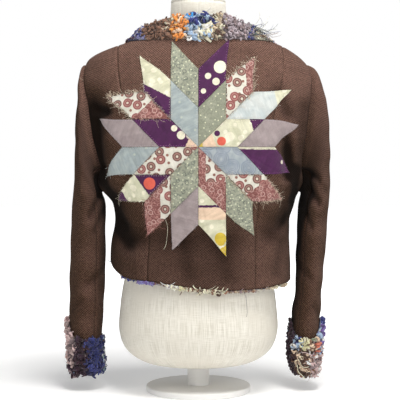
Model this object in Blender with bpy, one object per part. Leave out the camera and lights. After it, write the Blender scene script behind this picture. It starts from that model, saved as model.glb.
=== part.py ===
"""Cropped jacket with a pieced star on its back, on a linen dress form and a low base.

Metres, +Z up. The jacket's back faces -Y, so its left sleeve is on the -X side.
Every body piece is cut from one garment surface, which has a girth at each height.
A point on it is an angle round the body and a height: angle 0 is the centre back,
+90 and -90 degrees are the right and left side seams, and 180 is the centre front.
"""

import math

import bmesh
import bpy
import numpy as np

# Cloth and seams
CLOTH = 0.002
SEAM_GAP = 0.0003
PATCH_CLOTH = 0.001
PATCH_LIFT = 0.0010
PATCH_INSET = 0.00028

# Rag trim: how far each piece lies off the cloth, and its least and greatest thickness
COLLAR_LIFT = 0.0010
COLLAR_THICK = (0.006, 0.014)
FRONT_TRIM_LIFT = 0.0018
FRONT_TRIM_THICK = (0.004, 0.010)
CUFF_THICK = (0.0025, 0.0080)
TRIM_EDGE_SHARE = 0.6
HEM_TRIM_LIFT = 0.0016
HEM_TRIM_THICK = 0.003
HEM_TRIM_HEIGHT = 0.012
HEM_TRIM_HANG = (0.003, 0.007)
HEM_TRIM_END = math.pi - 0.30

# Heights above the floor
BASE_THICK = 0.012
FORM_FOOT = 0.050
HEM = 0.2145
UNDERARM = 0.398
SHOULDER_TIP = 0.652
SHOULDER_STEP = 0.6945
NECK_EDGE = 0.700

# Widths and counts
BASE_RADIUS = 0.105
BASE_EDGE = 0.003
STEM_RADIUS = 0.022
ARMHOLE_HALF_DEPTH = 0.053
ARMHOLE_STEPS = 12
SLEEVE_SWELL = 0.010
CAP_RINGS = 8
# How much of the armhole's bend the first sleeve ring keeps, and each later one after it
BEND_SHARE = 0.8
BEND_FADE = 0.7
# Angles up from the underarm between which the sleeve starts to follow the body
UNDERARM_TURN = (0.2, 0.9)
# Armhole steps from the underarm to each seam between the top sleeve and the under sleeve
UNDER_SLEEVE_STEPS = 3
STAR_CENTRE = 0.4866
STAR_SIDE = 0.0741
STAR_POINTS = 8
QUARTER = math.pi / 2
SQUARENESS = 2.15
HEM_FADE = 0.13

# The garment surface's half widths and depths at each height
GIRTH = (
    ("height", "left", "right", "back", "front"),
    (0.2145, 0.1750, 0.1840, 0.120, 0.122),
    (0.2600, 0.1752, 0.1830, 0.114, 0.119),
    (0.3020, 0.1730, 0.1812, 0.110, 0.119),
    (0.3400, 0.1710, 0.1835, 0.110, 0.122),
    (0.3720, 0.1745, 0.1945, 0.112, 0.127),
    (0.3980, 0.1885, 0.2005, 0.115, 0.131),
    (0.4200, 0.2030, 0.2105, 0.117, 0.134),
    (0.4650, 0.2190, 0.2210, 0.120, 0.137),
    (0.5100, 0.2320, 0.2340, 0.121, 0.130),
    (0.5700, 0.2390, 0.2400, 0.116, 0.110),
    (0.6100, 0.2380, 0.2360, 0.108, 0.094),
    (0.6400, 0.2300, 0.2250, 0.100, 0.081),
    (0.6520, 0.2235, 0.2140, 0.096, 0.076),
    (0.6600, 0.2180, 0.2060, 0.093, 0.072),
    (0.6680, 0.2075, 0.1965, 0.090, 0.068),
    (0.6760, 0.1920, 0.1850, 0.087, 0.063),
    (0.6860, 0.1665, 0.1680, 0.083, 0.057),
    (0.6940, 0.1410, 0.1490, 0.080, 0.052),
    (0.7000, 0.1260, 0.1280, 0.078, 0.049),
    (0.7120, 0.1180, 0.1180, 0.076, 0.046),
    (0.7280, 0.1080, 0.1080, 0.074, 0.044),
    (0.7450, 0.0990, 0.0990, 0.072, 0.042),
)

# How far each princess seam lies from the centre back, and each front edge from the centre front
SEAMS = (
    ("height", "left", "right"),
    (0.2145, 0.0990, 0.1100),
    (0.3000, 0.0970, 0.1110),
    (0.3800, 0.1060, 0.1160),
    (0.5400, 0.1380, 0.1440),
    (0.6000, 0.1500, 0.1590),
    (0.6500, 0.1565, 0.1650),
    (0.6900, 0.1580, 0.1660),
)
FRONT_EDGE = (
    ("height", "half_gap"),
    (0.2145, 0.025),
    (0.3000, 0.018),
    (0.4000, 0.013),
    (0.5000, 0.015),
    (0.5400, 0.027),
    (0.5750, 0.045),
    (0.6150, 0.065),
    (0.6550, 0.080),
    (0.7000, 0.096),
)

# How far the hem rises above its centre back, by the angle round the body in degrees
HEM_LINE = (
    ("angle", "rise"),
    (-180, 0.040),
    (-90, 0.046),
    (-72, 0.034),
    (-60, 0.0245),
    (-50, 0.0190),
    (-38, 0.0162),
    (-28, 0.0145),
    (-18, 0.0100),
    (-8, 0.0062),
    (2, 0.0022),
    (12, -0.0008),
    (22, -0.0014),
    (40, 0.0006),
    (52, 0.0034),
    (66, 0.0060),
    (90, 0.012),
    (130, 0.024),
    (180, 0.034),
)

# Soft folds, each a straight line from one place to another. A trough has a negative depth.
FOLDS = (
    ("from_x", "from_z", "to_x", "to_z", "width", "depth"),
    (-0.185, 0.370, -0.130, 0.305, 0.024, -0.006),
    (-0.185, 0.415, -0.135, 0.365, 0.028, 0.004),
    (0.190, 0.380, 0.140, 0.320, 0.024, -0.005),
    (0.195, 0.425, 0.145, 0.375, 0.028, 0.003),
    (-0.205, 0.570, -0.200, 0.450, 0.022, -0.007),
    (0.210, 0.560, 0.205, 0.450, 0.022, -0.004),
    (-0.050, 0.320, 0.060, 0.310, 0.034, -0.004),
)

# Each sleeve's rings, from the armhole to the end hidden in the cuff, by their outer and inner edges
SLEEVE_LEFT = (
    ("outer_x", "outer_z", "inner_x", "inner_z", "half_depth", "middle_y"),
    (0.2300, 0.6480, 0.1912, 0.3975, 0.0605, 0.000),
    (0.2345, 0.6330, 0.1920, 0.3965, 0.0625, 0.000),
    (0.2358, 0.6050, 0.1915, 0.3940, 0.0645, 0.001),
    (0.2400, 0.5720, 0.1900, 0.3900, 0.0660, 0.002),
    (0.2428, 0.5200, 0.1880, 0.3850, 0.0670, 0.003),
    (0.2446, 0.4680, 0.1866, 0.3760, 0.0660, 0.005),
    (0.2490, 0.4150, 0.1858, 0.3550, 0.0645, 0.007),
    (0.2535, 0.3550, 0.1865, 0.3250, 0.0620, 0.010),
    (0.2560, 0.2950, 0.1862, 0.2900, 0.0590, 0.014),
    (0.2590, 0.2400, 0.1883, 0.2400, 0.0560, 0.018),
    (0.2600, 0.1900, 0.1905, 0.1900, 0.0530, 0.022),
    (0.2610, 0.1500, 0.1925, 0.1500, 0.0500, 0.025),
    (0.2600, 0.1120, 0.1960, 0.1120, 0.0480, 0.028),
    (0.2575, 0.0800, 0.1990, 0.0800, 0.0440, 0.030),
)
SLEEVE_RIGHT = (
    ("outer_x", "outer_z", "inner_x", "inner_z", "half_depth", "middle_y"),
    (0.2290, 0.6450, 0.2030, 0.3975, 0.0605, 0.000),
    (0.2390, 0.6270, 0.2037, 0.3965, 0.0625, 0.000),
    (0.2465, 0.5980, 0.2037, 0.3940, 0.0645, 0.001),
    (0.2525, 0.5620, 0.2030, 0.3900, 0.0660, 0.002),
    (0.2565, 0.5150, 0.2022, 0.3850, 0.0670, 0.003),
    (0.2600, 0.4650, 0.2012, 0.3760, 0.0660, 0.005),
    (0.2620, 0.4150, 0.1992, 0.3550, 0.0645, 0.007),
    (0.2595, 0.3550, 0.1980, 0.3250, 0.0620, 0.010),
    (0.2555, 0.2950, 0.1975, 0.2900, 0.0590, 0.014),
    (0.2510, 0.2400, 0.1965, 0.2400, 0.0560, 0.018),
    (0.2480, 0.1900, 0.1945, 0.1900, 0.0530, 0.022),
    (0.2460, 0.1500, 0.1895, 0.1500, 0.0500, 0.025),
    (0.2440, 0.1120, 0.1880, 0.1120, 0.0480, 0.028),
    (0.2415, 0.0800, 0.1895, 0.0800, 0.0440, 0.030),
)

# Each cuff's plain inside, and the height of its top edge round the wrist
CUFF_LEFT = (
    ("height", "inner_x", "outer_x", "half_depth", "middle_y"),
    (0.027, 0.1990, 0.2540, 0.0370, 0.031),
    (0.045, 0.1935, 0.2585, 0.0420, 0.031),
    (0.080, 0.1980, 0.2585, 0.0450, 0.030),
    (0.112, 0.1952, 0.2608, 0.0488, 0.028),
    (0.150, 0.1917, 0.2618, 0.0508, 0.025),
)
CUFF_RIGHT = (
    ("height", "inner_x", "outer_x", "half_depth", "middle_y"),
    (0.027, 0.1960, 0.2360, 0.0350, 0.031),
    (0.045, 0.1900, 0.2395, 0.0410, 0.031),
    (0.080, 0.1850, 0.2425, 0.0450, 0.030),
    (0.112, 0.1868, 0.2450, 0.0490, 0.028),
    (0.150, 0.1887, 0.2468, 0.0508, 0.025),
)
CUFF_FOOT = 0.031
CUFF_FOOT_RISE = 0.004
CUFF_TOP = 0.105
CUFF_PEAK = 0.038
CUFF_PEAK_SPREAD = 0.62

# The collar's edges, by the angle from the centre back in degrees
COLLAR = (
    ("angle", "low", "high"),
    (0, 0.6935, 0.7425),
    (18, 0.6935, 0.7405),
    (30, 0.6935, 0.7365),
    (45, 0.6937, 0.7310),
    (58, 0.6938, 0.7265),
    (75, 0.6940, 0.7205),
    (90, 0.6940, 0.7150),
    (105, 0.6920, 0.7100),
)

# The front trim's edges below the collar's end, each a distance from the centre front and a height
TRIM_JOINT = 0.006
FRONT_TRIM = (
    ("outer_x", "outer_z", "inner_x", "inner_z"),
    (0.1210, 0.6720, 0.0880, 0.6900),
    (0.1100, 0.6450, 0.0750, 0.6560),
    (0.0960, 0.6100, 0.0600, 0.6160),
    (0.0760, 0.5740, 0.0400, 0.5750),
    (0.0590, 0.5400, 0.0220, 0.5400),
    (0.0470, 0.5000, 0.0100, 0.5000),
    (0.0410, 0.4000, 0.0080, 0.4000),
    (0.0460, 0.3000, 0.0130, 0.3000),
    (0.0560, 0.2145, 0.0200, 0.2145),
)

# The dress form's half width and its depths behind and in front, from its foot to its neck
FORM = (
    ("height", "half_width", "back", "front"),
    (0.0503, 0.0430, 0.0360, 0.0320),
    (0.0560, 0.0930, 0.0720, 0.0640),
    (0.0660, 0.1210, 0.0930, 0.0830),
    (0.0860, 0.1450, 0.1100, 0.0990),
    (0.1100, 0.1560, 0.1170, 0.1060),
    (0.1340, 0.1590, 0.1180, 0.1080),
    (0.1780, 0.1555, 0.1120, 0.1060),
    (0.2240, 0.1480, 0.1010, 0.0990),
    (0.2700, 0.1330, 0.0900, 0.0900),
    (0.3200, 0.1210, 0.0840, 0.0860),
    (0.3600, 0.1270, 0.0880, 0.0920),
    (0.4000, 0.1400, 0.0960, 0.1020),
    (0.4500, 0.1520, 0.1040, 0.1180),
    (0.5000, 0.1600, 0.1080, 0.1200),
    (0.5600, 0.1660, 0.1070, 0.1020),
    (0.6100, 0.1720, 0.0990, 0.0860),
    (0.6400, 0.1760, 0.0900, 0.0720),
    (0.6560, 0.1790, 0.0840, 0.0640),
    (0.6680, 0.1770, 0.0800, 0.0590),
    (0.6770, 0.1690, 0.0780, 0.0550),
    (0.6860, 0.1555, 0.0760, 0.0510),
    (0.6940, 0.1320, 0.0730, 0.0460),
    (0.7000, 0.1150, 0.0700, 0.0430),
    (0.7060, 0.0960, 0.0660, 0.0430),
    (0.7130, 0.0780, 0.0620, 0.0440),
    (0.7220, 0.0655, 0.0560, 0.0460),
    (0.7380, 0.0570, 0.0525, 0.0490),
    (0.7740, 0.0540, 0.0520, 0.0520),
)
NECK_CAP = (
    ("height", "half_width", "back", "front"),
    (0.7743, 0.0545, 0.0525, 0.0525),
    (0.7850, 0.0515, 0.0495, 0.0495),
    (0.7930, 0.0430, 0.0410, 0.0410),
    (0.7980, 0.0280, 0.0270, 0.0270),
    (0.8000, 0.0110, 0.0105, 0.0105),
)

# Colour, roughness and metallic value of each material
MATERIALS = {
    "brown_wool": ((0.130, 0.075, 0.050), 0.95, 0.0),
    "rag_trim": ((0.200, 0.130, 0.180), 1.0, 0.0),
    "patch_sage": ((0.330, 0.340, 0.260), 0.9, 0.0),
    "patch_blue": ((0.420, 0.470, 0.500), 0.9, 0.0),
    "patch_lilac": ((0.320, 0.260, 0.270), 0.9, 0.0),
    "patch_plum": ((0.060, 0.015, 0.060), 0.9, 0.0),
    "patch_cream": ((0.680, 0.620, 0.440), 0.9, 0.0),
    "patch_maroon": ((0.250, 0.100, 0.090), 0.9, 0.0),
    "linen": ((0.680, 0.640, 0.560), 0.9, 0.0),
    "stand_paint": ((0.800, 0.790, 0.770), 0.5, 0.0),
}

# Each diamond's cloth, clockwise from the one just right of straight up
INNER_CLOTHS = ("sage", "cream", "blue", "maroon", "sage", "cream", "plum", "blue")
OUTER_CLOTHS = (
    ("sage", "plum"),
    ("cream", "blue"),
    ("lilac", "plum"),
    ("cream", "sage"),
    ("cream", "lilac"),
    ("maroon", "cream"),
    ("blue", "lilac"),
    ("cream", "plum"),
)


def columns(table):
    """A table's rows below its heading, as one array for each named column."""
    names, *rows = table
    return dict(zip(names, np.array(rows, float).T))


def smooth(at, knots, values):
    """A curve through the values that never overshoots them."""
    at = np.clip(at, knots[0], knots[-1])
    rise = np.diff(values) / np.diff(knots)
    both = rise[1:] * rise[:-1]
    total = np.where(both > 0, rise[1:] + rise[:-1], 1.0)
    slope = np.concatenate(([rise[0]], np.where(both > 0, 2 * both / total, 0), [rise[-1]]))
    cell = np.clip(np.searchsorted(knots, at, side="right") - 1, 0, len(knots) - 2)
    length = knots[cell + 1] - knots[cell]
    t = (at - knots[cell]) / length
    start = values[cell] * (1 + 2 * t) * (1 - t) ** 2 + slope[cell] * length * t * (1 - t) ** 2
    end = values[cell + 1] * t * t * (3 - 2 * t) + slope[cell + 1] * length * t * t * (t - 1)
    return start + end


GIRTHS = columns(GIRTH)
SEAM_COLUMNS = columns(SEAMS)
FRONT_COLUMNS = columns(FRONT_EDGE)
HEM_COLUMNS = columns(HEM_LINE)
FOLD_COLUMNS = columns(FOLDS)


def girth(name, height):
    return smooth(height, GIRTHS["height"], GIRTHS[name])


def side_width(side, height):
    return girth("left" if side < 0 else "right", height)


def fold_depth(x, z):
    """How far the soft folds push the cloth out or in at a place."""
    total = np.zeros(np.shape(x))
    for from_x, from_z, to_x, to_z, width, depth in zip(*FOLD_COLUMNS.values()):
        run_x, run_z = to_x - from_x, to_z - from_z
        along = ((x - from_x) * run_x + (z - from_z) * run_z) / (run_x**2 + run_z**2)
        nearest = np.clip(along, 0, 1)
        away = np.hypot(x - from_x - nearest * run_x, z - from_z - nearest * run_z)
        total += depth * np.exp(-((away / width) ** 2))
    return total


def surface(theta, height):
    """The garment's outer surface at an angle round the body and a height."""
    theta, height = np.broadcast_arrays(np.asarray(theta, float), np.asarray(height, float))
    sine, cosine = np.sin(theta), np.cos(theta)
    width = np.where(sine < 0, girth("left", height), girth("right", height))
    depth = np.where(cosine > 0, girth("back", height), girth("front", height))
    power = 2 / SQUARENESS
    x = width * np.sign(sine) * np.abs(sine) ** power
    y = -depth * np.sign(cosine) * np.abs(cosine) ** power
    fade = np.clip(1 - (height - HEM) / HEM_FADE, 0, 1) ** 1.5
    rise = smooth(np.degrees(theta), HEM_COLUMNS["angle"], HEM_COLUMNS["rise"])
    z = height + rise * fade
    fold = fold_depth(x, z)
    return np.stack((x + fold * sine, y - fold * cosine, z), -1)


def outward(theta, height):
    """The surface's normal, away from the body."""
    step_angle, step_height = 0.01, 0.002
    across = surface(theta + step_angle, height) - surface(theta - step_angle, height)
    up = surface(theta, height + step_height) - surface(theta, height - step_height)
    normal = np.cross(across, up)
    return normal / np.linalg.norm(normal, axis=-1, keepdims=True)


def angle_at(side, x, height):
    """The angle on the back at which the surface is a distance x from the middle."""
    share = np.clip(np.asarray(x) / side_width(side, height), 0, 1)
    return side * np.arcsin(share ** (SQUARENESS / 2))


def front_angle_at(side, x, height):
    return side * math.pi - angle_at(side, x, height)


def half_gap(theta, height):
    """Half a seam's gap as an angle, at a place on the surface."""
    near = 0.01
    run = np.linalg.norm(surface(theta + near, height) - surface(theta - near, height), axis=-1)
    return SEAM_GAP * near / run


def get_material(name):
    found = bpy.data.materials.get(name)
    if found:
        return found
    color, roughness, metallic = MATERIALS[name]
    made = bpy.data.materials.new(name)
    made.use_nodes = True
    shader = made.node_tree.nodes["Principled BSDF"]
    shader.inputs["Base Color"].default_value = (*color, 1.0)
    shader.inputs["Roughness"].default_value = roughness
    shader.inputs["Metallic"].default_value = metallic
    return made


def add_object(name, points, faces, material):
    """An object from points and faces, with its faces turned out."""
    mesh = bpy.data.meshes.new(name)
    work = bmesh.new()
    verts = [work.verts.new(point) for point in points]
    for face in faces:
        work.faces.new([verts[i] for i in face])
    bmesh.ops.recalc_face_normals(work, faces=work.faces)
    work.to_mesh(mesh)
    work.free()
    mesh.shade_smooth()
    mesh.set_sharp_from_angle(angle=math.radians(40))
    mesh.materials.append(get_material(material))
    made = bpy.data.objects.new(name, mesh)
    bpy.context.scene.collection.objects.link(made)
    return made


def wall(name, outer, inner, material, tube=False):
    """A closed wall between two grids of points, whose columns meet again on a tube."""
    rows, cols = outer.shape[:2]
    count = rows * cols
    last = cols if tube else cols - 1

    def at(row, col, layer):
        return layer * count + row * cols + col % cols

    faces = []
    for row in range(rows - 1):
        for col in range(last):
            for layer in (0, 1):
                faces.append(
                    (
                        at(row, col, layer),
                        at(row, col + 1, layer),
                        at(row + 1, col + 1, layer),
                        at(row + 1, col, layer),
                    )
                )
    for col in range(last):
        for row in (0, rows - 1):
            faces.append((at(row, col, 0), at(row, col + 1, 0), at(row, col + 1, 1), at(row, col, 1)))
    if not tube:
        for row in range(rows - 1):
            for col in (0, cols - 1):
                faces.append((at(row, col, 0), at(row + 1, col, 0), at(row + 1, col, 1), at(row, col, 1)))
    points = np.concatenate((outer.reshape(-1, 3), inner.reshape(-1, 3)))
    return add_object(name, points.tolist(), faces, material)


def cloth_on_surface(name, theta, height, material, low=-CLOTH, high=0.0):
    """A wall that follows the garment surface, between two distances out from it."""
    points, normals = surface(theta, height), outward(theta, height)
    return wall(name, points + high * normals, points + low * normals, material)


def uneven(row, col, seed):
    """A steady value from 0 to 1 that differs from one lump to the next."""
    return np.modf(np.abs(np.sin(row * 12.9898 + col * 78.233 + seed * 37.719)) * 43758.5453)[0]


def lumps(rows, cols, seed):
    """Heights from 0 to 1 for the staggered lumps of rag trim."""
    row, col = np.meshgrid(np.arange(rows), np.arange(cols), indexing="ij")
    return 0.6 * ((row + col) % 2) + 0.4 * uneven(row, col, seed)


def armhole_heights():
    """Heights up the oval armhole, closest together at its two ends, and its depth there."""
    share = np.linspace(0, 1, ARMHOLE_STEPS + 1)
    middle, half = (UNDERARM + SHOULDER_TIP) / 2, (SHOULDER_TIP - UNDERARM) / 2
    level = 0.65 * np.cos(math.pi * share) + 0.35 * (1 - 2 * share)
    return middle - half * level, ARMHOLE_HALF_DEPTH * np.sqrt(np.clip(1 - level**2, 0, 1))


def armhole_angle(side, height, depth_in, where):
    """The angle at which a body piece ends at the armhole, behind or in front."""
    share = np.clip(depth_in / girth(where, height), 0, 1)
    back = np.arccos(share ** (SQUARENESS / 2))
    return side * (back if where == "back" else math.pi - back)


def outer_edge():
    """Heights and armhole depths along a body piece's outer edge, from the hem to the tip."""
    below = np.linspace(HEM, UNDERARM, 10)[:-1]
    heights, depths = armhole_heights()
    return np.concatenate((below, heights)), np.concatenate((0 * below, depths))


def seam_top(side, shift):
    """The height at which a princess seam meets the shoulder seam."""
    heights = np.linspace(0.655, NECK_EDGE, 2000)
    gap = side_width(side, heights) - seam_distance(side, heights) - shift
    return heights[np.argmin(np.abs(gap))]


def seam_distance(side, height):
    return smooth(height, SEAM_COLUMNS["height"], SEAM_COLUMNS["left" if side < 0 else "right"])


def seam_rows(side, shift):
    """Heights and angles down a princess seam, a small shift to its outer side."""
    outer_heights = outer_edge()[0]
    stretch = (seam_top(side, shift) - HEM) / (SHOULDER_TIP - HEM)
    heights = HEM + (outer_heights - HEM) * stretch
    angles = angle_at(side, seam_distance(side, heights) + shift, heights)
    limit = QUARTER - half_gap(side * QUARTER, heights)
    return heights, side * np.minimum(np.abs(angles), limit)


def add_back_centre():
    cols = 13
    shoulder = np.array([SHOULDER_STEP, NECK_EDGE])
    edges = []
    for side in (-1, 1):
        heights, angles = seam_rows(side, -SEAM_GAP / 2)
        limit = side * (QUARTER - half_gap(side * QUARTER, shoulder))
        edges.append((np.concatenate((heights, shoulder)), np.concatenate((angles, limit))))
    (left_h, left_a), (right_h, right_a) = edges
    across = np.linspace(-1, 1, cols)
    share = (across + 1) / 2
    height = left_h[:, None] * (1 - share) + right_h[:, None] * share
    theta = np.where(across < 0, -left_a[:, None] * across, right_a[:, None] * across)
    cloth_on_surface("back_centre", theta, height, "brown_wool")


def add_back_side(side, name):
    cols = 8
    inner_h, inner_a = seam_rows(side, SEAM_GAP / 2)
    outer_h, depths = outer_edge()
    outer_a = armhole_angle(side, outer_h, depths, "back")
    outer_a = outer_a - side * half_gap(outer_a, outer_h)
    share = np.linspace(0, 1, cols)
    height = inner_h[:, None] * (1 - share) + outer_h[:, None] * share
    theta = inner_a[:, None] * (1 - share) + outer_a[:, None] * share
    cloth_on_surface(name, theta, height, "brown_wool")


def add_front(side, name):
    cols = 8
    outer_h, depths = outer_edge()
    shoulder = np.linspace(SHOULDER_TIP, NECK_EDGE, 6)[1:]
    heights = np.concatenate((outer_h, shoulder))
    outer_a = armhole_angle(side, heights, np.concatenate((depths, 0 * shoulder)), "front")
    outer_a = outer_a + side * half_gap(outer_a, heights)
    half_gap_x = smooth(heights, FRONT_COLUMNS["height"], FRONT_COLUMNS["half_gap"])
    inner_a = front_angle_at(side, half_gap_x, heights)
    share = np.linspace(0, 1, cols)
    theta = outer_a[:, None] * (1 - share) + inner_a[:, None] * share
    height = np.repeat(heights[:, None], cols, axis=1)
    cloth_on_surface(name, theta, height, "brown_wool")


def ring_of_edges(side, inner, outer, half_depth, middle_y, turn):
    """Points round a tube from its inner edge over the back to its outer edge and the front."""
    middle, reach = (outer + inner) / 2, (outer - inner) / 2
    x = side * (middle[0] - reach[0] * np.cos(turn))
    z = middle[1] - reach[1] * np.cos(turn)
    y = middle_y - half_depth * np.sin(turn)
    return np.stack((x, y, z), -1)


def sleeve_turns():
    level = (armhole_heights()[0] * 2 - UNDERARM - SHOULDER_TIP) / (SHOULDER_TIP - UNDERARM)
    half = np.arccos(np.clip(-level, -1, 1))
    return np.concatenate((half, half[1:-1] + math.pi))


def armhole_ring(side):
    """The armhole's edge and its normals, from the underarm over the back to the tip and the front."""
    heights, depths = armhole_heights()
    back = armhole_angle(side, heights, depths, "back")
    front = armhole_angle(side, heights, depths, "front")
    theta = np.concatenate((back, front[-2:0:-1]))
    height = np.concatenate((heights, heights[-2:0:-1]))
    return surface(theta, height), outward(theta, height)


def tube_normals(grid):
    """Outward normals of a tube of rings, its columns closed."""
    round_it = np.roll(grid, -1, axis=1) - np.roll(grid, 1, axis=1)
    along = np.gradient(grid, axis=0)
    normal = np.cross(round_it, along)
    away = grid - grid.mean(axis=1, keepdims=True)
    normal *= np.sign((normal * away).sum(axis=(1, 2)))[:, None, None]
    return normal / np.linalg.norm(normal, axis=-1, keepdims=True)


def seam_sides(grid):
    """A grid whose first and last columns are drawn in by half a seam's gap."""
    grid = grid.copy()
    for edge, next_in in ((0, 1), (-1, -2)):
        run = grid[:, next_in] - grid[:, edge]
        grid[:, edge] += SEAM_GAP / 2 * run / np.linalg.norm(run, axis=-1, keepdims=True)
    return grid


def add_sleeve(side, name, table):
    """A set-in sleeve's top and under pieces, sewn together down the back and the front."""
    turn = sleeve_turns()
    edge, edge_normals = armhole_ring(side)
    tip, underarm = edge[ARMHOLE_STEPS], edge[0]
    flat_edge = ring_of_edges(
        side,
        np.array([abs(underarm[0]), underarm[2]]),
        np.array([abs(tip[0]), tip[2]]),
        ARMHOLE_HALF_DEPTH,
        0.0,
        turn,
    )
    bend = edge - flat_edge
    rings = []
    for index, row in enumerate(zip(*columns(table).values())):
        outer_x, outer_z, inner_x, inner_z, half_depth, middle_y = row
        inner, outer = np.array([inner_x, inner_z]), np.array([outer_x, outer_z])
        ring = ring_of_edges(side, inner, outer, half_depth, middle_y, turn)
        swell = SLEEVE_SWELL * math.sin(math.pi * min(1, (index + 1) / CAP_RINGS))
        ring[:, 0] += side * swell * np.sin(turn) ** 2
        rings.append(ring + bend * BEND_SHARE * BEND_FADE**index)
    leave = rings[0] - edge
    start = edge + SEAM_GAP * leave / np.linalg.norm(leave, axis=-1, keepdims=True)
    grid = np.stack([start] + rings)
    normals = tube_normals(grid)
    from_underarm = np.minimum(turn, 2 * math.pi - turn)
    share = np.interp(from_underarm, UNDERARM_TURN, (0, 1))[:, None]
    normals[0] = edge_normals * share + normals[0] * (1 - share)
    normals[0] /= np.linalg.norm(normals[0], axis=-1, keepdims=True)
    inside = grid - CLOTH * normals
    seam = UNDER_SLEEVE_STEPS
    top = np.arange(seam, len(turn) - seam + 1)
    under = np.arange(-seam, seam + 1)
    for word, chosen in (("top", top), ("under", under)):
        outer_part, inner_part = seam_sides(grid[:, chosen]), seam_sides(inside[:, chosen])
        wall(f"{name}_{word}", outer_part, inner_part, "brown_wool")


def add_cuff(side, name, table, inner_peak):
    """A lumpy tube over the sleeve's end, with a raised peak at its sides."""
    rows, cols = 8, 28
    turn = np.linspace(0, 2 * math.pi, cols, endpoint=False)
    from_inner = np.minimum(turn, 2 * math.pi - turn)
    peaks = np.exp(-(((math.pi - from_inner) / CUFF_PEAK_SPREAD) ** 2))
    peaks = peaks + inner_peak * np.exp(-((from_inner / CUFF_PEAK_SPREAD) ** 2))
    top = CUFF_TOP + CUFF_PEAK * peaks
    foot = CUFF_FOOT + CUFF_FOOT_RISE * uneven(3, np.arange(cols), side)
    share = np.linspace(0, 1, rows)[:, None]
    height = foot + (top - foot) * share
    part = columns(table)
    edges = ("inner_x", "outer_x", "half_depth", "middle_y")
    inner_x, outer_x, half_depth, middle_y = (smooth(height, part["height"], part[key]) for key in edges)
    x = side * ((inner_x + outer_x) / 2 - (outer_x - inner_x) / 2 * np.cos(turn))
    y = middle_y - half_depth * np.sin(turn)
    inside = np.stack((x, y, height), -1)
    normals = tube_normals(inside)
    thin, full = CUFF_THICK
    thick = thin + (full - thin) * lumps(rows, cols, side)
    thick[[0, -1]] *= TRIM_EDGE_SHARE
    wall(name, inside + thick[..., None] * normals, inside, "rag_trim", tube=True)


def trim_on_surface(name, theta, height, seed, thick, lift):
    """A lumpy wall of rag trim over the garment surface, thinner at its two long edges."""
    points, normals = surface(theta, height), outward(theta, height)
    thin, full = thick
    depth = thin + (full - thin) * lumps(*theta.shape, seed)
    depth[:, [0, -1]] *= TRIM_EDGE_SHARE
    low = points + lift * normals
    wall(name, low + depth[..., None] * normals, low, "rag_trim")


def add_collar():
    along, across = 49, 6
    part = columns(COLLAR)
    angle = np.linspace(-part["angle"][-1], part["angle"][-1], along)
    low = smooth(np.abs(angle), part["angle"], part["low"])
    high = smooth(np.abs(angle), part["angle"], part["high"])
    share = np.linspace(0, 1, across)
    height = low[:, None] * (1 - share) + high[:, None] * share
    theta = np.repeat(np.radians(angle)[:, None], across, axis=1)
    trim_on_surface("collar_trim", theta, height, 5, COLLAR_THICK, COLLAR_LIFT)


def add_front_trim(side, name):
    along, across = 27, 5
    end = columns(COLLAR)
    part = columns(FRONT_TRIM)
    end_angle = side * (math.radians(end["angle"][-1]) + TRIM_JOINT)
    outer_z = np.concatenate(([end["low"][-1]], part["outer_z"]))
    inner_z = np.concatenate(([end["high"][-1]], part["inner_z"]))
    outer_a = np.concatenate(([end_angle], front_angle_at(side, part["outer_x"], part["outer_z"])))
    inner_a = np.concatenate(([end_angle], front_angle_at(side, part["inner_x"], part["inner_z"])))
    knots = np.arange(len(outer_z), dtype=float)
    at = np.linspace(0, knots[-1], along)
    share = np.linspace(0, 1, across)
    edges = [smooth(at, knots, values)[:, None] for values in (outer_z, inner_z, outer_a, inner_a)]
    height = edges[0] * (1 - share) + edges[1] * share
    theta = edges[2] * (1 - share) + edges[3] * share
    trim_on_surface(name, theta, height, 9 + side, FRONT_TRIM_THICK, FRONT_TRIM_LIFT)


def add_hem_trim():
    """Rag trim along the inside of the hem, its lower edge hanging just below the cloth."""
    along, across = 49, 3
    theta = np.repeat(np.linspace(-HEM_TRIM_END, HEM_TRIM_END, along)[:, None], across, axis=1)
    points = surface(theta, HEM + np.linspace(0, HEM_TRIM_HEIGHT, across))
    least, most = HEM_TRIM_HANG
    points[:, 0, 2] -= least + (most - least) * uneven(np.arange(along), 2, 7)
    normals = outward(theta, np.full_like(theta, HEM + HEM_TRIM_HEIGHT / 2))
    outer = points - (CLOTH + HEM_TRIM_LIFT) * normals
    wall("hem_trim", outer, outer - HEM_TRIM_THICK * normals, "rag_trim")


def arc_angle(distance, height):
    """The angle at which a measure laid round the back from its middle ends."""
    steps = np.linspace(0, QUARTER, 200)
    side = -1 if distance < 0 else 1
    path = surface(side * steps, height)
    run = np.concatenate(([0], np.cumsum(np.linalg.norm(np.diff(path, axis=0), axis=1))))
    return side * np.interp(abs(distance), run, steps)


def add_patch(name, corners, cloth):
    """A diamond of cloth laid on the back, from its four corners in the star's own plane."""
    middle = corners.mean(axis=0)
    cols = 5 if abs(middle[0]) < STAR_SIDE else 7
    half_point = math.pi / STAR_POINTS
    inset = 1 - PATCH_INSET / (STAR_SIDE * math.sin(half_point) * math.cos(half_point))
    corners = middle + (corners - middle) * inset
    share = np.linspace(0, 1, cols)
    first = corners[0] + share[:, None] * (corners[1] - corners[0])
    last = corners[3] + share[:, None] * (corners[2] - corners[3])
    grid = first[:, None] + share[None, :, None] * (last - first)[:, None]
    height = STAR_CENTRE + grid[..., 1]
    theta = np.array([[arc_angle(u, z) for u, z in zip(us, zs)] for us, zs in zip(grid[..., 0], height)])
    cloth_on_surface(name, theta, height, "patch_" + cloth, PATCH_LIFT, PATCH_LIFT + PATCH_CLOTH)


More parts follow.
